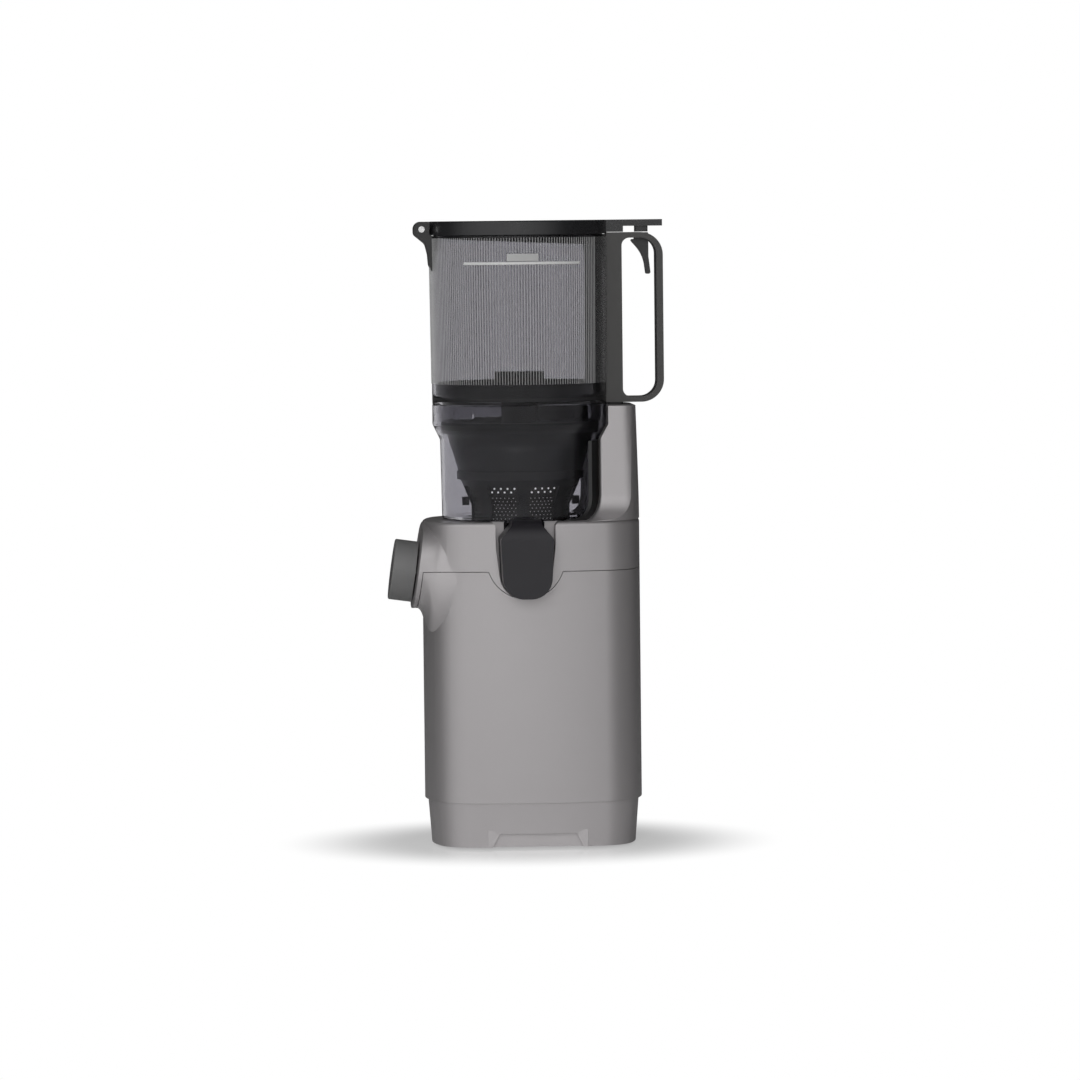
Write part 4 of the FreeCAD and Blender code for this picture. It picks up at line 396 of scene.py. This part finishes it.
# Each mark's name, lower and upper edge, half its arc in degrees, how far it stands out, and its finish
MARKS = [("fill_line", 447.4, 449.7, 40.0, RIB_RISE + 0.25, mark_white),
         ("fill_patch", 449.9, 456.0, 10.2, 0.15, patch_white)]


def hopper_radius(z):
    return WALL_FOOT_R + WALL_FLARE * (z - WALL_FOOT) / (MOUTH - WALL_FOOT)


def add_rib(bm, angle, low, high):
    """One low bar with a rounded crest, drawn up along the hopper's outer wall."""
    outward = Vector((math.cos(angle), math.sin(angle), 0))
    along = Vector((-math.sin(angle), math.cos(angle), 0))
    spots = []
    for side, lift in RIB_CREST:
        place = outward * (hopper_radius(low) + lift * RIB_RISE) + along * side * RIB_W
        spots.append(bm.verts.new((place.x * MM, place.y * MM, low * MM)))
    edges = [bm.edges.new(pair) for pair in zip(spots, spots[1:])]
    drawn = bmesh.ops.extrude_edge_only(bm, edges=edges)["geom"]
    rise = outward * (hopper_radius(high) - hopper_radius(low)) + Vector((0, 0, high - low))
    ends = [part for part in drawn if isinstance(part, bmesh.types.BMVert)]
    bmesh.ops.translate(bm, verts=ends, vec=rise * MM)


def make_wall():
    """The clear wall, from its mouth down to the foot of its skirt."""
    bm = bmesh.new()
    outer = [(SKIRT_R, SKIRT_FOOT), (SKIRT_R, SHOULDER)]
    outer += [(WALL_FOOT_R - EDGE, SHOULDER), (WALL_FOOT_R, SHOULDER + EDGE)]
    outer += [(hopper_radius(z), z) for z in WALL_RINGS]
    outer += [(MOUTH_R, MOUTH - EDGE), (MOUTH_R - EDGE, MOUTH)]
    inner = [(MOUTH_IN_R + EDGE, MOUTH), (MOUTH_IN_R, MOUTH - EDGE)] + INNER_CURVE
    inner += [(SKIRT_IN_R, LEDGE), (SKIRT_IN_R, SKIRT_FOOT)]
    turned_profile(bm, outer + inner, steps=256)
    soften(bm, angle=60)
    onto_axis(bm)
    new_piece("clear_hopper_wall", bm, clear_hopper, "hopper", ["hopper"])


def make_ribs(name, material, by_handle):
    """The ribs by the handle, where the wall has painted shade, or the others, with a gap where the bare
    patch lies.
    """
    bm = bmesh.new()
    for number in range(RIBS):
        angle = math.tau * (number + 0.5) / RIBS
        if (math.cos(angle) > math.cos(PAINTED_SHADE_TURN)) != by_handle:
            continue
        on_patch = math.sin(angle) < 0 and abs(hopper_radius(PATCH_Z[0]) * math.cos(angle)) < PATCH_X
        spans = [(RIB_LOW, PATCH_Z[0]), (PATCH_Z[1], RIB_HIGH)] if on_patch else [(RIB_LOW, RIB_HIGH)]
        for low, high in spans:
            add_rib(bm, angle, low, high)
    bmesh.ops.recalc_face_normals(bm, faces=bm.faces)
    soften(bm, angle=80)
    onto_axis(bm)
    new_piece(name, bm, material, "hopper")


def make_turned(name, corners, steps, material, half_turn=math.pi, middle=0.0):
    """A thin turned piece of the hopper, all round or as far each way from its middle as half_turn says."""
    bm = bmesh.new()
    turned_profile(bm, corners, steps, 2 * half_turn, middle - half_turn)
    soften(bm, angle=40)
    onto_axis(bm)
    new_piece(name, bm, material, "hopper")


def make_mark(name, low, high, half, rise, material):
    """A raised mark on the front of the wall."""
    base = hopper_radius(low)
    corners = [(base - MARK_ROOT, low), (base + rise, low + MARK_EDGE), (base + rise, high - MARK_EDGE),
               (base - MARK_ROOT, high)]
    make_turned(name, corners, 48, material, math.radians(half), -math.pi / 2)


make_wall()
make_ribs("hopper_ribs", rib_highlight_paint, by_handle=False)
make_ribs("hopper_ribs_by_handle", rib_shaded_highlight_paint, by_handle=True)
# Painted shade: a dark ring inside the foot of the hopper wall
make_turned("hopper_foot_painted_shade", FOOT_SHADE_PROFILE, 96, skirt_black)
# Painted shade: a dark strip inside the wall behind the handle
make_turned("handle_side_painted_shade", HANDLE_SHADE_PROFILE, 24, skirt_black, PAINTED_SHADE_TURN)
for mark in MARKS:
    make_mark(*mark)

# Perforated panels of the strainer


PANELS = 8
# Each row's height, holes in a panel, their radius, and their shift along the row
UPPER_ROWS = [(275.6, 4, 0.78, 0.25), (272.8, 4, 0.78, -0.25)]
LOWER_ROWS = [(268.2 - 2.6 * i, 6, 0.42, 0.25 if i % 2 else -0.25) for i in range(8)]
PANEL_ARC = math.radians(30.0)
SCREEN_R = 36.4
SCREEN_BEND = 261.9
SCREEN_SLOPE = 0.367
SIDE_FACING = 0.7
HOLE_SIDES = 8
HOLE_TAPER = 0.6
HOLE_DEPTH = 0.5


def make_holes(name, rows, material, facing):
    """Rows of holes in the panels that face the sides, or in the others."""
    bm = bmesh.new()
    for height, count, radius, shift in rows:
        at_radius = SCREEN_R + max(0.0, height - SCREEN_BEND) * SCREEN_SLOPE
        for panel in range(PANELS):
            middle = math.tau * (panel + 0.5) / PANELS
            if (abs(math.sin(middle)) > SIDE_FACING) != facing:
                continue
            for i in range(count):
                angle = middle + (i - (count - 1) / 2 + shift) * PANEL_ARC / count
                place = Matrix.Rotation(angle, 4, "Z") @ Matrix.Translation((at_radius * MM, 0, height * MM))
                turn = place @ Matrix.Rotation(math.pi / 2, 4, "Y")
                bmesh.ops.create_cone(bm, cap_ends=True, segments=HOLE_SIDES, radius1=radius * MM,
                                      radius2=radius * HOLE_TAPER * MM, depth=HOLE_DEPTH * MM, matrix=turn)
    soften(bm, angle=40)
    onto_axis(bm)
    new_piece(name, bm, material, "bowl")


def lit(name, colour, strength):
    """The light that shows through a hole, as a glow of its own."""
    made = plastic(name, colour, 0.4)
    shader = node_of(made.node_tree, "BSDF_PRINCIPLED")
    shader.inputs["Emission Color"].default_value = (1, 1, 1, 1)
    shader.inputs["Emission Strength"].default_value = strength
    return made


hole_light = lit("upper_hole_light", tone(245), 0.9)
hole_dim = lit("lower_hole_light", tone(225), 0.12)
make_holes("upper_holes", UPPER_ROWS, hole_light, True)
make_holes("lower_holes", LOWER_ROWS, hole_dim, True)
make_holes("turned_holes", UPPER_ROWS + LOWER_ROWS, part_black, False)

# Floor, light and camera


FLOOR_HALF = 30.0
FLOOR_WHITE = (0.93, 0.93, 0.93, 1)
FLOOR_ROUGHNESS = 0.12
FADE_START, FADE_END = 0.09, 0.2
FADE_LEAST = 0.42


def make_floor():
    """A white floor that glows to the eye, less so near the juicer, where its shadow shows."""
    bm = bmesh.new()
    bmesh.ops.create_grid(bm, x_segments=1, y_segments=1, size=FLOOR_HALF)
    mesh = bpy.data.meshes.new("floor")
    bm.to_mesh(mesh)
    bm.free()
    floor = bpy.data.objects.new("floor", mesh)
    bpy.context.scene.collection.objects.link(floor)
    made, tree, shader, vector = new_material("floor_white")
    shader.inputs["Base Color"].default_value = FLOOR_WHITE
    shader.inputs["Roughness"].default_value = FLOOR_ROUGHNESS
    glow = tree.nodes.new("ShaderNodeEmission")
    glow.inputs["Strength"].default_value = 1.0
    reach = tree.nodes.new("ShaderNodeVectorMath")
    reach.operation = "LENGTH"
    tree.links.new(vector, reach.inputs[0])
    fade = tree.nodes.new("ShaderNodeMapRange")
    fade.interpolation_type = "SMOOTHSTEP"
    fade.inputs["From Min"].default_value = FADE_START
    fade.inputs["From Max"].default_value = FADE_END
    fade.inputs["To Min"].default_value = FADE_LEAST
    tree.links.new(reach.outputs["Value"], fade.inputs["Value"])
    ray = tree.nodes.new("ShaderNodeLightPath")
    seen = maths(tree, "MAXIMUM", ray.outputs["Is Camera Ray"], ray.outputs["Is Transmission Ray"])
    amount = maths(tree, "MULTIPLY", fade.outputs["Result"], seen)
    mix = tree.nodes.new("ShaderNodeMixShader")
    tree.links.new(amount, mix.inputs["Fac"])
    tree.links.new(shader.outputs["BSDF"], mix.inputs[1])
    tree.links.new(glow.outputs["Emission"], mix.inputs[2])
    out = node_of(tree, "OUTPUT_MATERIAL")
    tree.links.new(mix.outputs["Shader"], out.inputs["Surface"])
    mesh.materials.append(made)


ROOM_SHINE = 0.95
ROOM_FILL = 0.3
ROOM_DARK = 0.04
ROOM_FRONT = 0.9
ROOM_LEFT = 0.34
ROOM_TURN, ROOM_FULL = 0.05, 0.92


def make_world():
    """A room that looks white, but shines and fills mostly from its front side."""
    world = bpy.data.worlds.new("white_room")
    bpy.context.scene.world = world
    world.use_nodes = True
    tree = world.node_tree
    background = node_of(tree, "BACKGROUND")
    background.inputs["Color"].default_value = (1, 1, 1, 1)
    ray = tree.nodes.new("ShaderNodeLightPath")
    seen = maths(tree, "MAXIMUM", ray.outputs["Is Camera Ray"], ray.outputs["Is Transmission Ray"])
    place = tree.nodes.new("ShaderNodeTexCoord")
    split = tree.nodes.new("ShaderNodeSeparateXYZ")
    tree.links.new(place.outputs["Generated"], split.inputs[0])
    # The white side of the room is in front of the juicer and a little to its left
    leftward = maths(tree, "MULTIPLY", split.outputs["X"], -ROOM_LEFT)
    ahead = maths(tree, "MULTIPLY_ADD", split.outputs["Y"], -ROOM_FRONT, leftward)
    side = tree.nodes.new("ShaderNodeMapRange")
    side.interpolation_type = "SMOOTHSTEP"
    side.inputs["From Min"].default_value = ROOM_TURN
    side.inputs["From Max"].default_value = ROOM_FULL
    tree.links.new(ahead, side.inputs["Value"])
    shine = maths(tree, "MULTIPLY_ADD", side.outputs["Result"], ROOM_SHINE, ROOM_DARK)
    shine = maths(tree, "MULTIPLY", shine, ray.outputs["Is Glossy Ray"])
    fill = maths(tree, "MULTIPLY_ADD", side.outputs["Result"], ROOM_FILL, ROOM_DARK)
    fill = maths(tree, "MULTIPLY", fill, ray.outputs["Is Diffuse Ray"])
    level = maths(tree, "MAXIMUM", seen, maths(tree, "MAXIMUM", shine, fill))
    tree.links.new(level, background.inputs["Strength"])


def soft_lamp(name, place, aim, size, power):
    """A broad lamp that lights the juicer without showing in it."""
    data = bpy.data.lights.new(name, "AREA")
    data.shape = "RECTANGLE"
    data.size, data.size_y = size
    data.energy = power
    lamp = bpy.data.objects.new(name, data)
    bpy.context.scene.collection.objects.link(lamp)
    lamp.location = place
    lamp.rotation_euler = (Vector(aim) - Vector(place)).to_track_quat("-Z", "Y").to_euler()
    lamp.visible_glossy = False
    lamp.visible_transmission = False


make_floor()
make_world()
soft_lamp("key_lamp", place=(-0.5, -3.1, 0.8), aim=(0, 0, 0.25), size=(0.7, 1.2), power=46)
soft_lamp("top_lamp", place=(-0.2, -0.4, 2.2), aim=(0, 0, 0.3), size=(1.2, 1.2), power=8)

# The camera stands level with the lid, a little round towards the knob

CAMERA_REACH = 4.580
CAMERA_HEIGHT = 0.481
CAMERA_TURN = math.radians(3.0)
CAMERA_ROLL = math.radians(-0.62)
AIM_ASIDE = 0.0147
AIM_DROP = 0.2471
SENSOR_WIDTH = 36.0
LENS = 197.5
FAR_CLIP = 100.0


def make_camera():
    data = bpy.data.cameras.new("camera")
    data.sensor_width = SENSOR_WIDTH
    data.lens = LENS
    data.clip_end = FAR_CLIP
    camera = bpy.data.objects.new("camera", data)
    bpy.context.scene.collection.objects.link(camera)
    bpy.context.scene.camera = camera
    across, away = math.cos(CAMERA_TURN), math.sin(CAMERA_TURN)
    camera.location = (AXIS_X - CAMERA_REACH * away, -CAMERA_REACH * across, CAMERA_HEIGHT)
    aim = Vector((AXIS_X + AIM_ASIDE * across, -AIM_ASIDE * away, CAMERA_HEIGHT - AIM_DROP))
    view = (aim - camera.location).to_track_quat("-Z", "Y").to_matrix().to_4x4()
    camera.rotation_euler = (view @ Matrix.Rotation(CAMERA_ROLL, 4, "Z")).to_euler()


make_camera()

bpy.context.scene.view_settings.view_transform = "Standard"

bpy.context.view_layer.update()
